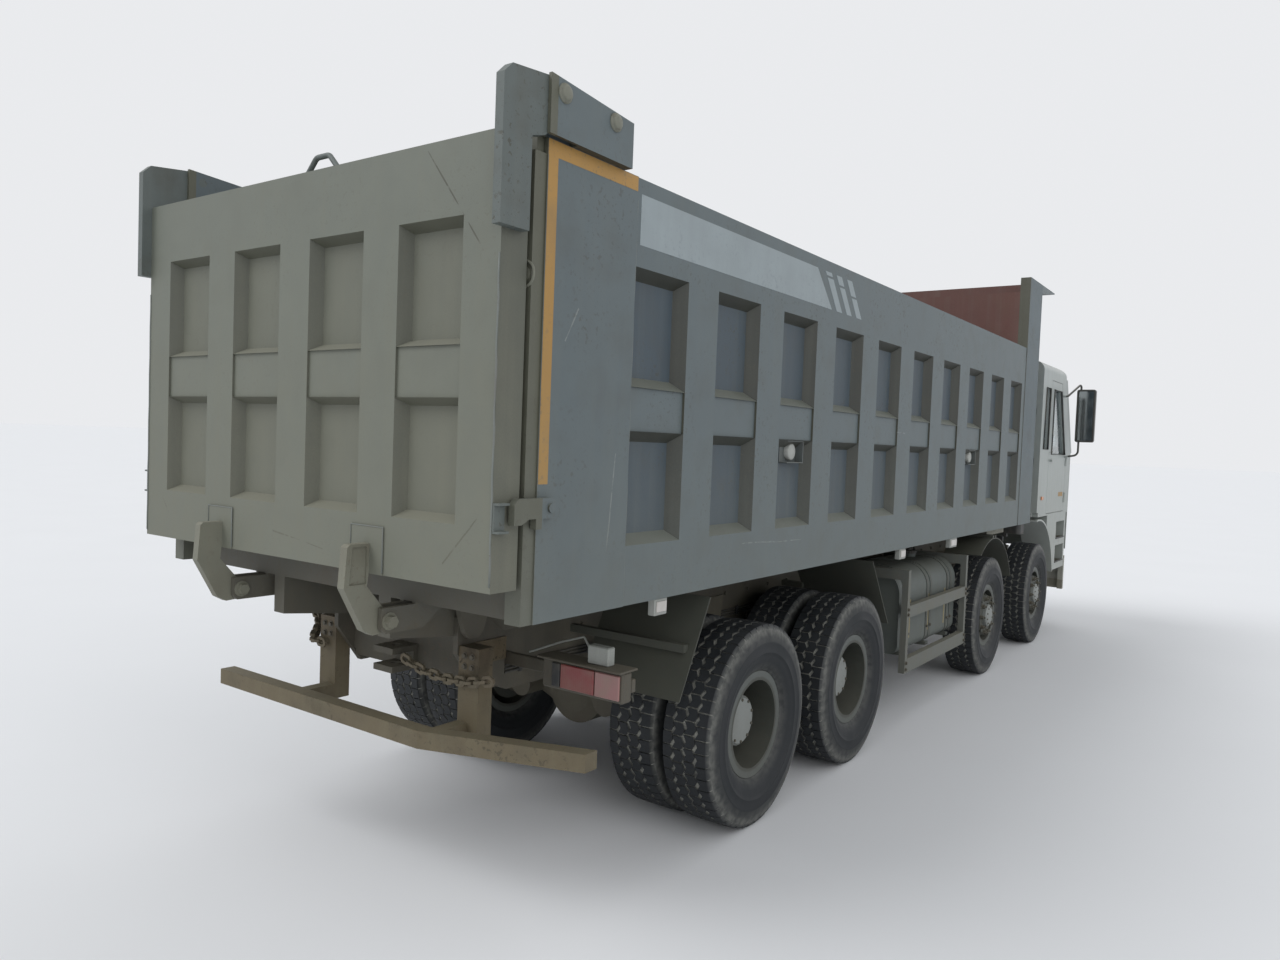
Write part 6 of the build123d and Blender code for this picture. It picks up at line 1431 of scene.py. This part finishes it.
@dataclass
class ChassisTrim(SubAssembly):
    """Bolts, spring clamps, brake pipes and tank fittings of the chassis."""

    rail_y: float = 0.43
    rail_z: Flat = (0.85, 1.15)
    bolt_inset: float = 0.055
    tandem_x: float = -2.31
    pipe_x: tuple[float, ...] = (-4.2, -2.9, -1.0, 1.2, 4.3)
    pipe_z: tuple[float, ...] = (0.94, 0.958, 0.976)
    cap: Point = (0.565, -0.795, 1.22)

    def rail_bolts(self) -> None:
        """Set two rows of bolts along both rails, clear of what is fixed there."""
        places: list[tuple[Point, Point]] = []
        for side, _ in SIDES:
            x = -3.6
            while x < 4.7:
                for z in (self.rail_z[0] + self.bolt_inset, self.rail_z[1] - self.bolt_inset):
                    places.append(((x, side * self.rail_y, z), (0, side, 0)))
                x += 0.31
        self.bolts("rail_bolts", "chassis", places, 0.013)

    @staticmethod
    def _bolt_legs(clamp: Piece, x: float, side: int, reach: float, legs_y: Flat, span_z: Flat,
                   radius: float) -> None:
        """Stand the four legs of a pair of U-bolts round a spring.

        Args:
            clamp: The piece that they go into.
            x: Middle of the spring.
            side: 1 for left, -1 for right.
            reach: How far the legs stand before and behind the middle.
            legs_y: Their two places across, on the left side.
            span_z: Their lower and upper end.
            radius: Their radius.
        """
        for place, y in product((x - reach, x + reach), legs_y):
            clamp.tube([(place, side * y, z) for z in span_z], radius, 8)

    def springs(self) -> None:
        """Clamp each spring pack to its axle with U-bolts and rebound clips."""
        clamp = Piece()
        for axle in (1, 2):
            x = AXLE_X[axle]
            for side, _ in SIDES:
                self._bolt_legs(clamp, x, side, 0.062, (0.346, 0.436), (0.43, 0.628), 0.009)
                clamp.bar((x - 0.085, side * 0.34, 0.622), (x + 0.085, side * 0.442, 0.64), 0.004)
        for side, _ in SIDES:
            self._bolt_legs(clamp, self.tandem_x, side, 0.07, (0.438, 0.53), (0.6, 0.885), 0.012)
        self.keep(clamp.make("spring_clamps", AXLE_STEEL, smooth=True), "chassis", Slot.FRAME)

    def pipes(self) -> None:
        """Run brake pipes along the rails, in clips."""
        pipe = Piece()
        for side, _ in SIDES:
            for z in self.pipe_z:
                pipe.tube([(x, side * (self.rail_y + 0.008), z) for x in self.pipe_x], 0.006, 6)
            x = -4.1
            while x < 4.2:
                pipe.bar((x, side * self.rail_y, 0.928),
                         (x + 0.02, side * (self.rail_y + 0.018), 0.99), 0.002)
                x += 0.55
        self.keep(pipe.make("brake_pipes", PLASTIC), "chassis", Slot.PLASTIC)

    def tank_fittings(self) -> None:
        """Filler cap grip, strap bolts and yellow tape of the tank."""
        grip = Piece()
        cap_x, cap_y, top = self.cap
        notch = []
        for k in range(32):
            reach, angle = 0.058 if k % 2 else 0.063, math.pi * k / 16
            notch.append((cap_x + reach * math.cos(angle), cap_y + reach * math.sin(angle)))
        grip.prism(notch, 2, top - 0.01, top + 0.018, 0.006)
        grip.bar((cap_x - 0.045, cap_y - 0.008, top + 0.016),
                 (cap_x + 0.045, cap_y + 0.008, top + 0.03), 0.003)
        self.keep(grip.make("filler_cap", PLASTIC), "chassis", Slot.PLASTIC)
        tape = Piece()
        for x in (-0.28, 0.17, 0.6):
            tape.bar((x, -1.1115, 0.62), (x + 0.028, -1.1095, 0.93), 0.0005)
        self.keep(tape.make("tank_tape", YELLOW_TAPE), "chassis", Slot.TANK)
        places: list[tuple[Point, Point]] = []
        for share in (0.12, 0.5, 0.88):
            middle = -0.525 + share * 1.42
            for offset in (-0.0425, 0.0425):
                places.append(((middle + offset, -1.116, 0.66), (0, -1, 0)))
        self.bolts("strap_bolts", "chassis", places, 0.011, BOLT_STEEL, Slot.TANK)

    def guard_fittings(self) -> None:
        """Bolts on the side guards and underrun posts."""
        places: list[tuple[Point, Point]] = []
        low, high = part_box("side_guards")
        for side, _ in SIDES:
            for x in (low.x + 0.025, high.x - 0.025):
                for z in (0.43, 0.48, 0.855, 0.895):
                    places.append(((x, side * 1.2, z), (0, side, 0)))
        for side, _ in SIDES:
            for z in (1.04, 1.09):
                for offset in (0.02, 0.07):
                    places.append(((-4.53, side * (0.48 + offset), z), (-1, 0, 0)))
        self.bolts("guard_bolts", "chassis", places, 0.011)

    def build(self) -> None:
        """Make and place the chassis pieces."""
        self.rail_bolts()
        self.springs()
        self.pipes()
        self.tank_fittings()
        self.guard_fittings()


@dataclass
class Lamps(SubAssembly):
    """Tail lamps on their outriggers and headlamps in the bumper, for the plain solids."""

    body: Flat = (-4.285, -4.217)
    beam_end: float = -4.189
    lens: float = -4.296
    tail_y: Flat = (0.76, 1.23)
    bottoms: tuple[tuple[int, float], ...] = ((1, 1.05), (-1, 0.95))
    height: float = 0.14
    pocket_x: Flat = (5.2003, 5.2497)
    pocket_y: Flat = (0.8203, 1.0797)
    pocket_z: Flat = (0.6003, 0.7597)

    def tail_lamps(self, housing: Piece) -> None:
        """Add the tail lamps' housings and make their lenses, small boxes and cables."""
        red, cover, faded, boxes = Piece(), Piece(), Piece(), Piece()
        near, far = self.tail_y
        for side, bottom in self.bottoms:
            top, middle = bottom + self.height, bottom + self.height / 2
            housing.bar((self.body[0], side * near, bottom), (self.body[1], side * far, top), 0.008)
            housing.bar((self.body[1] - 0.001, side * 0.43, middle - 0.03),
                        (self.beam_end, side * far, middle + 0.03), 0.003)
            housing.bar((self.body[0] - 0.034, side * (near - 0.01), top),
                        (self.beam_end, side * (far + 0.01), top + 0.01), 0.003)
            for start, stop, part in ((0.825, 0.872, cover), (0.877, 1.072, red),
                                      (1.077, 1.215, faded)):
                part.bar((self.lens, side * start, bottom + 0.014),
                         (self.body[0] + 0.001, side * stop, top - 0.014), 0.004)
            x = self.body[0]
            boxes.bar((x + 0.005, side * 1.02, top + 0.011),
                      (x + 0.055, side * 1.14, top + 0.095), 0.005)
            boxes.tube([(x + 0.025, side * 1.03, top + 0.06), (x + 0.065, side * 0.95, top + 0.11),
                        (x + 0.085, side * 0.8, top + 0.06),
                        (x + 0.085, side * 0.6, top - 0.02)], 0.005, 6)
        self.keep(red.make("tail_lens_red", RED_LENS), "chassis", Slot.LAMP)
        self.keep(cover.make("tail_lens_cover", PLASTIC), "chassis", Slot.LAMP)
        self.keep(faded.make("tail_lens_faded", PINK_LENS), "chassis", Slot.LAMP)
        self.keep(boxes.make("lamp_boxes", PALE_BOX), "chassis", Slot.LAMP)

    def headlamps(self, housing: Piece) -> None:
        """Add the headlamps' buckets and make their bowls, bulbs and glasses."""
        bowl, lens, amber = Piece(), Piece(), Piece()
        back, front = self.pocket_x
        low, high = self.pocket_z
        for side, _ in SIDES:
            near, far = (side * y for y in self.pocket_y)
            wall = side * 0.005
            housing.bar((back, near, low), (back + 0.004, far, high), 0.001)
            for a, b in ((near, near + wall), (far - wall, far)):
                housing.bar((back, a, low), (front - 0.002, b, high), 0.001)
            for a, b in ((low, low + 0.005), (high - 0.005, high)):
                housing.bar((back, near, a), (front - 0.002, far, b), 0.001)
            for y, radius in ((0.893, 0.062), (1.005, 0.045)):
                centre = (back + 0.006, side * y, 0.68)
                dish = [(0.032 * share ** 2, radius * share) for share in (
                    0.0, 0.15, 0.3, 0.45, 0.6, 0.75, 0.88, 1.0)]
                bowl.turned(dish + [(0.03, radius * 1.06), (0.0, radius * 1.06)], centre, 0, 32)
                bulb = ((0.0, 0.009), (0.016, 0.009), (0.02, 0.006), (0.021, 0.0))
                bowl.turned(bulb, centre, 0, 12)
            amber.bar((back + 0.004, side * 1.052, low + 0.008),
                      (front - 0.006, side * 1.073, high - 0.008), 0.003)
            lens.bar((front - 0.006, near + wall, low + 0.005),
                     (front, far - wall, high - 0.005), 0.002)
        self.keep(bowl.make("headlamp_bowls", REFLECTOR, smooth=True), "chassis", Slot.LAMP)
        self.keep(amber.make("headlamp_turn_lenses", AMBER_LENS), "chassis", Slot.LAMP)
        self.keep(lens.make("headlamp_glasses", LAMP_GLASS), "chassis", Slot.GLASS)

    def build(self) -> None:
        """Make and place the lamps, their housings standing for the CAD node."""
        housing = Piece()
        self.tail_lamps(housing)
        self.headlamps(housing)
        whole = housing.make("lamp_housings", LAMP_BODY)
        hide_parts("lamps")
        self.keep(whole, "chassis", Slot.LAMP)


@dataclass
class CabTrim(SubAssembly):
    """Seals, mirror glass, steps, wipers, grille, visor and gauges of the cab."""

    half: float = 1.22
    panel_edge: float = 5.155
    panel_bow: float = 0.05
    gauge_x: float = 4.805 - 0.09
    slot_z: tuple[float, ...] = (1.15, 1.218, 1.286, 1.354, 1.422, 1.49)

    def seals(self) -> None:
        """Run rubber round the side windows; make the quarter and mirror glasses."""
        for side, name in SIDES:
            seal = Piece()
            y = side * (self.half + 0.002)
            slope = CAB_LEAN * (2.9 - 2.175)
            seal.tube([(4.035, y, 2.15), (4.775, y, 2.15), (4.795 - slope, y, 2.9),
                       (4.035, y, 2.9)], 0.011, 6, closed=True)
            self.keep(seal.make(f"door_window_seal_{name}", PLASTIC, smooth=True),
                      f"door_leaf_{name}", Slot.PLASTIC)
            quarter = Piece()
            quarter.tube([(3.595, y, 2.2), (3.835, y, 2.2), (3.835, y, 2.9), (3.635, y, 2.9)],
                         0.01, 6, closed=True)
            self.keep(quarter.make(f"quarter_window_seal_{name}", PLASTIC, smooth=True), "cab",
                      Slot.PLASTIC)
            pane = Piece()
            pane.prism(((3.5955, 2.2005), (3.8345, 2.2005), (3.8345, 2.8995), (3.635, 2.8995)), 1,
                       side * 1.186, side * 1.192)
            self.keep(pane.make(f"quarter_glass_{name}", WINDOW_GLASS), "cab", Slot.GLASS)
            glass = Piece()
            glass.bar((4.758, side * 1.35, 2.33), (4.7635, side * 1.52, 2.93), 0.002)
            self.keep(glass.make(f"mirror_glass_{name}", MIRROR), f"door_leaf_{name}", Slot.BRIGHT)

    def steps(self) -> None:
        """Lay ribbed treads in the entry steps."""
        rung = Piece().bar((0.0, 0.0, 0.0), (0.006, 0.11, 0.005), 0.001)
        part = loose("tread_rung", rung.mesh("tread_rung"))
        for side, name in SIDES:
            for index, z in enumerate((0.842, 1.132)):
                piece = grown(f"step_ribs_{index + 1}_{name}", TREES.row, BOLT_STEEL, {
                    "Part": part, "Count": 20, "Step": (0.021, 0.0, 0.0),
                })
                y = 1.095 if side > 0 else -1.205
                piece.data.transform(Matrix.Translation((4.555, y, z - 0.002)))
                self.keep(piece, "cab", Slot.FRAME)

    def front(self) -> None:
        """Wipers, grille backing and amber marker lamps."""
        wiper = Piece()
        for y in (-0.45, 0.4):
            foot = Vector((5.15, y, 2.235))
            tip = foot + Vector((-CAB_LEAN * 0.5, 0.42, 0.5))
            tip.x += 0.03
            wiper.tube([(foot.x, foot.y, foot.z), (foot.x + 0.02, foot.y + 0.02, foot.z + 0.03),
                        ((foot.x + tip.x) / 2 + 0.015, (foot.y + tip.y) / 2, (foot.z + tip.z) / 2),
                        (tip.x, tip.y, tip.z)], 0.007, 6)
            wiper.tube([(tip.x + CAB_LEAN * 0.3 - 0.01, tip.y - 0.25, tip.z - 0.3),
                        (tip.x - CAB_LEAN * 0.2 - 0.01, tip.y + 0.16, tip.z + 0.2)], 0.006, 6)
        self.keep(wiper.make("wipers", PLASTIC, smooth=True), "cab", Slot.PLASTIC)
        mesh = Piece()
        mesh.bar((5.138, -0.7, 1.13), (5.142, 0.7, 1.56), 0.001)
        self.keep(mesh.make("grille_backing", PLASTIC), "cab", Slot.PLASTIC)
        marks = Piece()
        for y in (-1.0, -0.35, 0.35, 1.0):
            marks.prism(circle(0.035, (4.5, y), 12), 2, 3.189, 3.21, 0.012)
        for side, _ in SIDES:
            marks.bar((3.62, side * self.half, 1.62),
                      (3.72, side * (self.half + 0.012), 1.66), 0.004)
        self.keep(marks.make("amber_markers", AMBER_LENS), "cab", Slot.LAMP)

    def panel_x(self, y: float) -> float:
        """Place of the bowed front panel's face at a distance from the middle."""
        return self.panel_edge + self.panel_bow * (1 - (y / self.half) ** 2)

    def bowed(self, piece: Piece, span: Flat, profile: Sequence[Flat], steps: int = 16) -> None:
        """Lay a profile of (reach, Z) along the bowed front panel.

        Args:
            piece: The piece that it goes into.
            span: First and last Y.
            profile: Closed outline, its reach counted from the panel's face.
            steps: Sections along the span.
        """
        sections = []
        for k in range(steps + 1):
            y = span[0] + (span[1] - span[0]) * k / steps
            sections.append([(self.panel_x(y) + reach, y, z) for reach, z in profile])
        piece.loft(sections)

    def grille(self) -> None:
        """Frame and vanes of the grille, panel gaps, grab rail and sun visor."""
        grille, gaps, rail, visor = Piece(), Piece(), Piece(), Piece()
        pitch = self.slot_z[1] - self.slot_z[0]
        for z in self.slot_z[:-1]:
            middle = z + pitch / 2
            self.bowed(grille, (-0.69, 0.69), ((-0.002, middle - 0.015), (0.010, middle - 0.017),
                                               (0.014, middle - 0.012), (0.005, middle + 0.014),
                                               (-0.002, middle + 0.015)))
        low, high = self.slot_z[0] - 0.024, self.slot_z[-1] + 0.024
        for a, b in ((low - 0.045, low), (high, high + 0.045)):
            self.bowed(grille, (-0.745, 0.745), (
                (-0.002, a), (0.014, a + 0.003), (0.018, a + 0.008), (0.018, b - 0.008),
                (0.014, b - 0.003), (-0.002, b)))
        for y, reach in ((-0.72, 0.018), (0.0, 0.012), (0.72, 0.018)):
            self.bowed(grille, (y - 0.025, y + 0.025), (
                (-0.002, low - 0.01), (reach, low - 0.01), (reach, high + 0.01),
                (-0.002, high + 0.01)), 2)
        self.keep(grille.make("grille_frame", PLASTIC), "cab", Slot.PLASTIC)
        for z in (1.655, 2.158):
            self.bowed(gaps, (-1.17, 1.17), (
                (-0.002, z), (0.0008, z), (0.0008, z + 0.005), (-0.002, z + 0.005)))
        self.keep(gaps.make("front_panel_gaps", PLASTIC), "cab", Slot.PLASTIC)
        face = [(self.panel_x(k * 0.1), k * 0.1) for k in range(-9, 10)]
        rail.tube([(face[0][0] - 0.004, face[0][1], 2.06)] + [(x + 0.034, y, 2.06) for x, y in face]
                  + [(face[-1][0] - 0.004, face[-1][1], 2.06)], 0.011, 8)
        for x, y in (face[6], face[12]):
            rail.bar((x - 0.004, y - 0.012, 2.05), (x + 0.032, y + 0.012, 2.07), 0.002)
        self.keep(rail.make("front_grab_rail", PLASTIC, smooth=True), "cab", Slot.PLASTIC)
        outline = ((4.738, 3.142), (4.850, 3.098), (4.925, 3.035), (4.965, 2.955), (4.960, 2.952),
                   (4.918, 3.030), (4.846, 3.092), (4.736, 3.136))
        visor.loft([[(x - 0.03 * (y / 1.13) ** 2, y, z) for x, z in outline]
                    for y in (k * 1.13 / 8 for k in range(-8, 9))])
        for y in (-0.85, 0.0, 0.85):
            visor.bar((4.66, y - 0.02, 3.105), (4.76, y + 0.02, 3.135), 0.004)
            visor.bar((4.74, y - 0.006, 3.03), (4.90, y + 0.006, 3.055), 0.003)
        self.keep(visor.make("sun_visor", PLASTIC), "cab", Slot.PLASTIC)

    def door_bands(self) -> None:
        """Plain orange band low on each door, and the dark lips of the steps."""
        for side, name in SIDES:
            band = Piece()
            band.bar((4.54, side * self.half, 1.640),
                     (4.79, side * (self.half + 0.0008), 1.692), 0.0002)
            self.keep(band.make(f"door_band_{name}", BAND_ORANGE), f"door_leaf_{name}", Slot.CAB)
            lips = Piece()
            for z in (0.84, 1.13):
                lips.bar((4.538, side * 1.205, z - 0.012),
                         (4.992, side * 1.228, z + 0.004), 0.003)
            self.keep(lips.make(f"step_lips_{name}", PLASTIC), "cab", Slot.PLASTIC)

    def inside(self) -> None:
        """Gauges on the dashboard."""
        gauge = Piece()
        for y in (0.42, 0.5, 0.62, 0.7):
            radius = 0.05 if y in (0.5, 0.62) else 0.03
            gauge.turned(((0.0, radius), (-0.006, radius), (-0.007, radius * 0.86),
                          (-0.003, radius * 0.8), (-0.003, 0.0)), (self.gauge_x, y, 2.06), 0, 20)
        self.keep(gauge.make("gauges", PLASTIC, smooth=True), "cab", Slot.PLASTIC)

    def build(self) -> None:
        """Make and place the cab's pieces."""
        self.seals()
        self.steps()
        self.front()
        self.grille()
        self.door_bands()
        self.inside()


@dataclass
class SeatPads(SubAssembly):
    """Crowned cushions, backs and headrests in place of the plain seat solids."""

    rear: float = 3.655
    inner_y: float = 0.31
    outer_y: float = 0.81
    floor_z: float = 1.48
    swell: float = 0.28
    seam_depth: float = 0.1
    seam_place: float = 0.4

    def pad(self, low: Sequence[float], high: Sequence[float], crown: int) -> bpy.types.Mesh:
        """Make a crowned pad from a divided box.

        Args:
            low: Its lowest corner.
            high: Its highest corner.
            crown: Axis along which both faces swell.

        Returns:
            The mesh.
        """
        work = bmesh.new()
        bmesh.ops.create_cube(work, size=1.0)
        bmesh.ops.subdivide_edges(work, edges=work.edges, cuts=9, use_grid_fill=True)
        others = [k for k in range(3) if k != crown]
        for vertex in work.verts:
            share = [c * 2 for c in vertex.co]
            hold, seam = 1.0, 1.0
            for k in others:
                hold *= 1 - abs(share[k]) ** 4
            thick = 1 - self.swell + self.swell * max(0.0, hold) ** 0.5
            for line in (-self.seam_place, self.seam_place):
                seam -= self.seam_depth * math.exp(-((share[others[0]] - line) / 0.05) ** 2)
            factors = [1 - 0.035 * abs(share[crown]) ** 2] * 3
            factors[crown] = thick * seam
            vertex.co = [(a + b) / 2 + share[k] * (b - a) / 2 * factors[k]
                         for k, (a, b) in enumerate(zip(low, high))]
        made = bpy.data.meshes.new("pad")
        work.to_mesh(made)
        work.free()
        made.shade_smooth()
        return made

    def build(self) -> None:
        """Make both seats."""
        for side, name in SIDES:
            near, far = sorted((side * self.inner_y, side * self.outer_y))
            plinth = Piece()
            plinth.bar((self.rear + 0.11, near + 0.02, self.floor_z),
                       (self.rear + 0.51, far - 0.02, 1.695), 0.01)
            base = plinth.make(f"seat_plinth_{name}", PLASTIC)
            self.keep(base, "cab", Slot.PLASTIC)
            pads = (
                ("cushion", (self.rear + 0.12, near, 1.702), (self.rear + 0.588, far, 1.838), 2),
                ("back", (self.rear - 0.022, near, 1.78), (self.rear + 0.115, far, 2.398), 0),
                ("headrest", (self.rear - 0.018, near + 0.13, 2.402),
                 (self.rear + 0.088, far - 0.13, 2.568), 0),
            )
            for label, low, high, crown in pads:
                piece = placed(f"seat_{label}_{name}", self.pad(low, high, crown), SEAT_CLOTH)
                self.keep(piece, "cab", Slot.SEAT)
            if side > 0:
                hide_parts("seats")


@dataclass
class CadFinishes:
    """Finish of every CAD node that stays in view."""

    def table(self) -> dict[str, Finish]:
        """Return the finish of each node by name."""
        nodes: dict[str, Finish] = {"bed_floor": FLOOR_PAINT}
        for names, finish in (
            ("bed_side_left bed_side_right", BED_PAINT), ("bed_front_wall", WALL_PAINT),
            ("tailgate_panel", GATE_PAINT), ("tailgate_arms", ARM_PAINT),
            ("bottom_hooks", HOOK_PAINT), ("frame_rails crossmembers", FRAME_PAINT),
            ("engine axles leaf_springs propshafts knuckle_1_left knuckle_1_right "
             "knuckle_2_left knuckle_2_right", AXLE_STEEL),
            ("tanks", TANK_PAINT), ("side_guards", GUARD_PAINT), ("mudguards", MUD_SHEET),
            ("underrun_bar muffler", RUST_STEEL), ("lamps", LAMP_BODY),
            ("front_bumper", BUMPER_PAINT), ("air_intake", PLASTIC), ("tow_chains", CHAIN_STEEL),
            ("hoist_cover", HOIST_PAINT),
            ("hoist_stage_1 hoist_stage_2 hoist_stage_3 hoist_stage_4", BRIGHT_TUBE),
            ("cab_floor cab_back cab_sides cab_roof cab_front", CAB_PAINT),
            ("windscreen door_glass_left door_glass_right", WINDOW_GLASS),
            ("dashboard", CAB_TRIM), ("door_left door_right", DOOR_PAINT), ("seats", SEAT_CLOTH),
        ):
            nodes.update(dict.fromkeys(names.split(), finish))
        return nodes

    def build(self) -> None:
        """Put each finish on its node."""
        for node, finish in self.table().items():
            dress(node, finish)


@dataclass
class Studio:
    """Pale floor, soft light and the camera at the photograph's angle."""

    place: Point = (-7.498, -3.576, 2.104)
    yaw: float = 35.565
    pitch: float = -2.354
    roll: float = 2.195
    lens: float = 25.84
    floor_tone: Colour = (0.80, 0.81, 0.83, 1.0)
    floor_reach: float = 400.0
    sky: float = 0.6
    lamps: tuple[tuple[str, Point, float, float], ...] = (
        ("key_light", (-8.0, 6.5, 10.0), 1.25, 34.0),
        ("fill_light", (-6.0, -11.0, 6.0), 0.75, 60.0),
        ("front_light", (12.0, 3.0, 8.0), 0.35, 60.0),
    )

    def camera(self) -> None:
        """Set the camera."""
        data = bpy.data.cameras.new("camera")
        data.lens = self.lens
        data.sensor_width = 36.0
        data.clip_end = 900.0
        camera = bpy.data.objects.new("camera", data)
        bpy.context.scene.collection.objects.link(camera)
        yaw, pitch, roll = (math.radians(a) for a in (self.yaw, self.pitch, self.roll))
        ahead = Vector((math.cos(pitch) * math.cos(yaw), math.cos(pitch) * math.sin(yaw),
                        math.sin(pitch)))
        right = Vector((math.sin(yaw), -math.cos(yaw), 0.0))
        up = right.cross(ahead)
        rolled = right * math.cos(roll) + up * math.sin(roll)
        upward = up * math.cos(roll) - right * math.sin(roll)
        turn = Matrix((rolled, upward, -ahead)).transposed()
        camera.matrix_world = Matrix.Translation(self.place) @ turn.to_4x4()
        bpy.context.scene.camera = camera

    def floor(self) -> None:
        """Lay the floor."""
        made = bpy.data.meshes.new("floor")
        reach = self.floor_reach
        made.from_pydata([(-reach, -reach, 0), (reach, -reach, 0), (reach, reach, 0),
                          (-reach, reach, 0)], [], [(0, 1, 2, 3)])
        floor = placed("floor", made, FloorTone("studio_floor", self.floor_tone))

    def world(self) -> None:
        """Light the surroundings softly and show them in the lit floor's tone."""
        world = bpy.data.worlds.new("studio")
        world.use_nodes = True
        world.node_tree.nodes.clear()
        sheet = NodeSheet(world.node_tree)
        path = sheet.add("ShaderNodeLightPath").outputs
        seen = sheet.maths("MAXIMUM", path["Is Camera Ray"], sheet.maths(
            "MAXIMUM", path["Is Glossy Ray"], path["Is Transmission Ray"]))
        lit = self.sky
        for _, place, strength, _ in self.lamps:
            lit += strength * place[2] / Vector(place).length / math.pi
        shown = tuple(0.985 * lit * c for c in self.floor_tone[:3]) + (1.0,)
        soft = sheet.add("ShaderNodeBackground", {
            "Color": (0.96, 0.98, 1.0, 1.0), "Strength": self.sky})
        plain = sheet.add("ShaderNodeBackground", {"Color": shown, "Strength": 1.0})
        mixed = sheet.add("ShaderNodeMixShader", {0: seen, 1: soft.outputs[0], 2: plain.outputs[0]})
        sheet.add("ShaderNodeOutputWorld", {0: mixed.outputs[0]})
        bpy.context.scene.world = world

    def lamp(self, name: str, place: Point, strength: float, spread: float) -> None:
        """Add a soft, even light from far away.

        Args:
            name: Name of the lamp.
            place: A point that the light comes from, seen from the truck's foot.
            strength: Its strength.
            spread: Angle over which it is spread, in degrees.
        """
        data = bpy.data.lights.new(name, "SUN")
        data.energy, data.angle = strength, math.radians(spread)
        lamp = bpy.data.objects.new(name, data)
        lamp.location = place
        lamp.rotation_mode = "QUATERNION"
        lamp.rotation_quaternion = (-Vector(place)).to_track_quat("-Z", "Y")
        bpy.context.scene.collection.objects.link(lamp)

    def build(self) -> None:
        """Set up the studio."""
        self.camera()
        self.floor()
        self.world()
        for lamp in self.lamps:
            self.lamp(*lamp)
        bpy.context.scene.view_settings.view_transform = "Standard"


def main() -> None:
    """Build the sub-assemblies in order."""
    logging.basicConfig(level=logging.INFO, format="%(message)s")
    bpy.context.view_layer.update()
    for part in (Studio, CadFinishes, Wheels, BedTrim, GateTrim, ChassisTrim, Lamps, CabTrim,
                 SeatPads):
        part().build()


if __name__ == "__main__":
    main()
